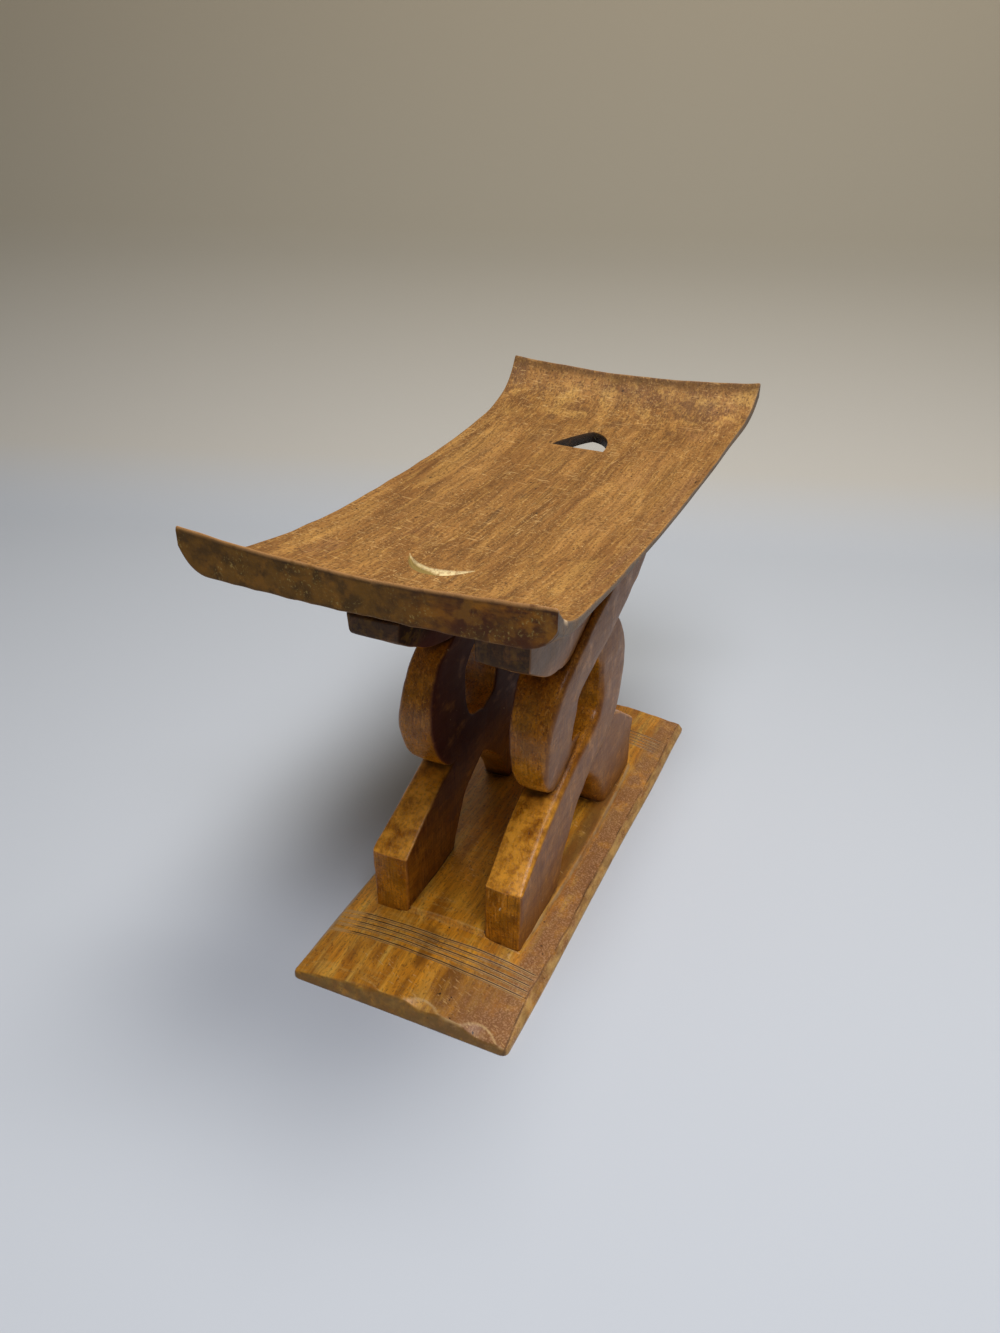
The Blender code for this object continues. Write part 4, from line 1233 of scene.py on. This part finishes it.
# The base: waxed like the strands, with a flame figure, but trodden and scuffed pale along its sides
baseWood = {
    "swayLength": 90 * mm, "sway": 8 * mm, "figureStretch": 6, "figureSize": 14 * mm,
    "figure": [(0.28, "#935409"), (0.46, "#CB811A"), (0.62, "#EC9E27"), (0.78, "#FFC139")],
    "roughness": 0.42, "ior": 1.40, "coat": 0.12, "coatRoughness": 0.22,
    "marks": [
        ("amber patches", "", 30, 1.5, 2, 0.48, 0.66, "#D4942A", 0.65),
        ("flames", "", 7, 8, 2, 0.5, 0.66, "#E4AE48", 0.85, {"patches": (55, 0.4, 0.54)}),
        ("ripples", "", 3.2, 4, 2, 0.5, 0.66, "#DCA64C", 0.5,
         {"turn": (0, 0, 90), "patches": (40, 0.44, 0.58)}),
        ("fibres", "", 2.2, 12, 4, 0.42, 0.64, "#6F4518", 0.4, {"relief": -0.07, "roughness": 0.1}),
        ("pores", "", 1.7, 2, 3, 0.55, 0.65, "#573414", 0.5, {"relief": -0.12}),
        ("flame streaks", "flame", 7, 1, 2, 0.1, 0.38, "#FECF70", 0.95, {"turn": (0, 0, 90)}),
        ("dark grain", "shade", 5, 3, 4, 0.2, 0.5, "#74420E", 0.85),
        ("shaded ledge", "ledgeShade", 9, 2, 3, 0.1, 0.45, "#6E4418", 0.8),
        # Painted highlight on the platform's edge
        ("painted highlight on the ledge", "ledge", 7, 3, 3, 0.38, 0.56, "#C8A674", 0.8),
        ("rosy end", "rosy", 12, 1, 3, 0.3, 0.6, "#96643E", 0.6),
        ("trodden sides", "trodden", 14, 1, 3, 0.2, 0.5, "#805430", 0.85, {"roughness": 0.2}),
        ("pale stipple", "trodden", 1.5, 1, 3, 0.5, 0.6, "#C09064", 0.6),
        ("scuffs", "", 1.8, 4, 2, 0.62, 0.69, "#D8AA6C", 0.6,
         {"turn": (0, 0, 70), "patches": (30, 0.44, 0.58)}),
        ("dark specks", "", 5, 1, 1, 0.745, 0.775, "#331C0C", 0.9),
        # Partly real wear, partly a painted highlight on the edges
        ("worn and highlighted edges", "wear", 10, 1, 2, 0.28, 0.6, "#CFA05C", 0.8, {"roughness": -0.06}),
        ("bare bevels", "bevel", 5, 3, 4, 0.36, 0.62, "#C8A05C", 0.7),
        ("stained bevels", "bevel", 8, 2, 4, 0.46, 0.62, "#6B4818", 0.42),
        ("end grain", "endGrain", 8, 1, 4, 0.3, 0.6, "#98763A", 0.75),
        ("lip", "underLip", 12, 1, 4, 0.2, 0.5, "#6A4A1C", 0.7),
        # Painted highlight on the chip edges
        ("painted highlight on the chip edges", "chips", 5, 1, 3, 0.25, 0.55, "#D4AE74", 0.65),
        # Painted shade along the bevel's inner edge
        ("paintedCreaseShade", "paintedCreaseShade", 5, 3, 4, 0.28, 0.56, "#40260C", 0.85),
        # Painted shade in the hollows
        ("painted shade in hollows", "paintedShade", 12, 1, 2, 0.15, 0.55, "#34190B", 0.9),
        # Painted shade in the crevices
        ("painted crevice shade", "paintedCreviceShade", 9, 1, 2, 0.2, 0.55, "#2A1406", 0.85),
        ("scored lines", "scored", 6, 1, 2, 0.05, 0.3, "#35220E", 0.95),
        # Rubbed starts of the lines, and a painted highlight on one line of each pair
        ("rubbed starts and painted highlight lines", "paleScores", 6, 1, 2, 0.1, 0.4, "#C89C60", 0.8),
    ],
}


# Making the pieces

seatPiece = makeSeat()
print("seat carved:", len(seatPiece.data.polygons), "faces")
basePiece = makeBase()
print("base carved:", len(basePiece.data.polygons), "faces")
strands = {}
for hand, side in (("right", -1), ("left", 1)):
    strands[hand + "Front"] = makeStrand(hand + "FrontStrand", "front", hand, 20 + side)
    strands[hand + "Back"] = makeStrand(hand + "BackStrand", "back", hand, 30 + side)
for low, high in rebate:
    cutAway(strands["leftFront"], boxCutter(low, high))
print("strands carved:", sum(len(piece.data.polygons) for piece in strands.values()), "faces")

solids = wholeTree([seatPiece, basePiece, *strands.values()])
storeUseAndLight(seatPiece, seatUseAndLight, solids)
storeUseAndLight(basePiece, baseUseAndLight, solids)
for piece in strands.values():
    storeUseAndLight(piece, strandUseAndLight, solids)
print("wear and dirt laid on")

materials = {"seat_wood": carvedWood("waxedHardwoodSeat", seatWood),
             "leg_wood": carvedWood("waxedHardwoodStrands", legWood),
             "base_wood": carvedWood("waxedHardwoodBase", baseWood)}
standsFor = [(seatPiece, "seat_wood", ["seat"]), (basePiece, "base_wood", ["base"])]
for hand in ("right", "left"):
    frontNodes = [hand + "_front_strand", hand + "_front_bracket"]
    standsFor.append((strands[hand + "Front"], "leg_wood", frontNodes))
    standsFor.append((strands[hand + "Back"], "leg_wood", [hand + "_back_strand"]))
for piece, slotName, nodes in standsFor:
    piece.data.materials.append(materials[slotName])
    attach(piece, "root")
    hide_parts(*nodes)
print("materials and frame set")


# The floor, the light and the camera

studio = {
    # The paper's tones darken with height: painted shade up the wall
    "paper": [(0.0, "#C6CBD2"), (0.03, "#C9C4BA"), (0.20, "#ACA28E"), (0.55, "#988A71")],
    "paperTop": 2.0,
    "halfWidth": 8.0,
    "front": -6.0,  # along the line of sight, from the middle of the stool
    "sweepStart": 0.68,
    "sweepRadius": 0.36,
    "wallTop": 3.2,
    "turn": 18.0,
    "world": "#C8CCD2",
    "worldStrength": 0.15,
    "lamps": [
        # place, size, watts, colour; each looks at the stool
        ((0.20, -0.38, 2.05), 0.8, 22.2, "#FFFCF6"),
        ((-0.84, -0.48, 1.92), 0.85, 25.0, "#F8F9FF"),
    ],
    "lookAt": (0.0, 0.0, 0.2),
}
view = {
    "place": (-0.6899, -0.2832, 0.6055),
    "yaw": 23.876,
    "pitch": 29.809,
    "roll": 0.756,
    "lens": 27.48,
    "sensor": 36.0,
}


def mattPaper():
    # Matt paper, pale and cool on the floor and a little warmer and darker up the wall, the darkening being
    # painted shade where the light falls off
    material = bpy.data.materials.new("mattPaper")
    material.use_nodes = True
    tree = material.node_tree
    place = addNode(tree, "TexCoord", out="Object")
    level = addNode(tree, "SeparateXYZ", {}, {0: place}, "Z")
    share = addNode(tree, "MapRange", {1: 0.0, 2: studio["paperTop"]}, {0: level})
    tone = addNode(tree, "ValToRGB", {}, {"Fac": share}, stops=studio["paper"])
    shader = tree.nodes["Principled BSDF"]
    tree.links.new(tone, shader.inputs["Base Color"])
    shader.inputs["Roughness"].default_value = 0.9
    return material


def makeBackdrop():
    # Seamless paper: a floor that curves up into a wall behind the stool
    start, radius = studio["sweepStart"], studio["sweepRadius"]
    profile = [(studio["front"], 0.0), (start, 0.0)]
    for angle in np.linspace(0.0, math.pi / 2, 25)[1:]:
        profile.append((start + radius * math.sin(angle), radius * (1.0 - math.cos(angle))))
    profile.append((start + radius, studio["wallTop"]))
    turn = math.radians(studio["turn"])
    along = np.array([math.cos(turn), math.sin(turn), 0.0])
    across = np.array([-along[1], along[0], 0.0])
    rows = [[along * run + across * side * studio["halfWidth"] + np.array([0.0, 0.0, height])
             for side in (-1.0, 1.0)] for run, height in profile]
    faces = [(2 * row, 2 * row + 1, 2 * row + 3, 2 * row + 2) for row in range(len(profile) - 1)]
    paper = makePiece("paper", np.array(rows), faces)
    paper.data.materials.append(mattPaper())


def makeLights():
    world = bpy.data.worlds.new("studio")
    bpy.context.scene.world = world
    world.use_nodes = True
    background = world.node_tree.nodes["Background"]
    background.inputs[0].default_value = toLinear(studio["world"])
    background.inputs[1].default_value = studio["worldStrength"]
    for index, (place, size, watts, colour) in enumerate(studio["lamps"]):
        lamp = bpy.data.lights.new("softbox" + str(index), "AREA")
        lamp.size = size
        lamp.energy = watts
        lamp.color = toLinear(colour)[:3]
        holder = bpy.data.objects.new(lamp.name, lamp)
        holder.location = place
        aim = Vector(studio["lookAt"]) - Vector(place)
        holder.rotation_euler = aim.to_track_quat("-Z", "Y").to_euler()
        bpy.context.scene.collection.objects.link(holder)


def makeCamera():
    camera = bpy.data.cameras.new("camera")
    camera.lens = view["lens"]
    camera.sensor_width = view["sensor"]
    camera.clip_start = 0.01
    holder = bpy.data.objects.new("camera", camera)
    holder.location = view["place"]
    turn = (math.radians(90.0 - view["pitch"]), 0.0, math.radians(view["yaw"] - 90.0))
    holder.rotation_euler = turn
    holder.rotation_mode = "XYZ"
    rolled = holder.rotation_euler.to_matrix() @ Matrix.Rotation(math.radians(view["roll"]), 3, "Z")
    holder.rotation_euler = rolled.to_euler()
    bpy.context.scene.collection.objects.link(holder)
    bpy.context.scene.camera = holder


makeBackdrop()
makeLights()
makeCamera()
bpy.context.scene.view_settings.view_transform = "Standard"
print("studio ready")
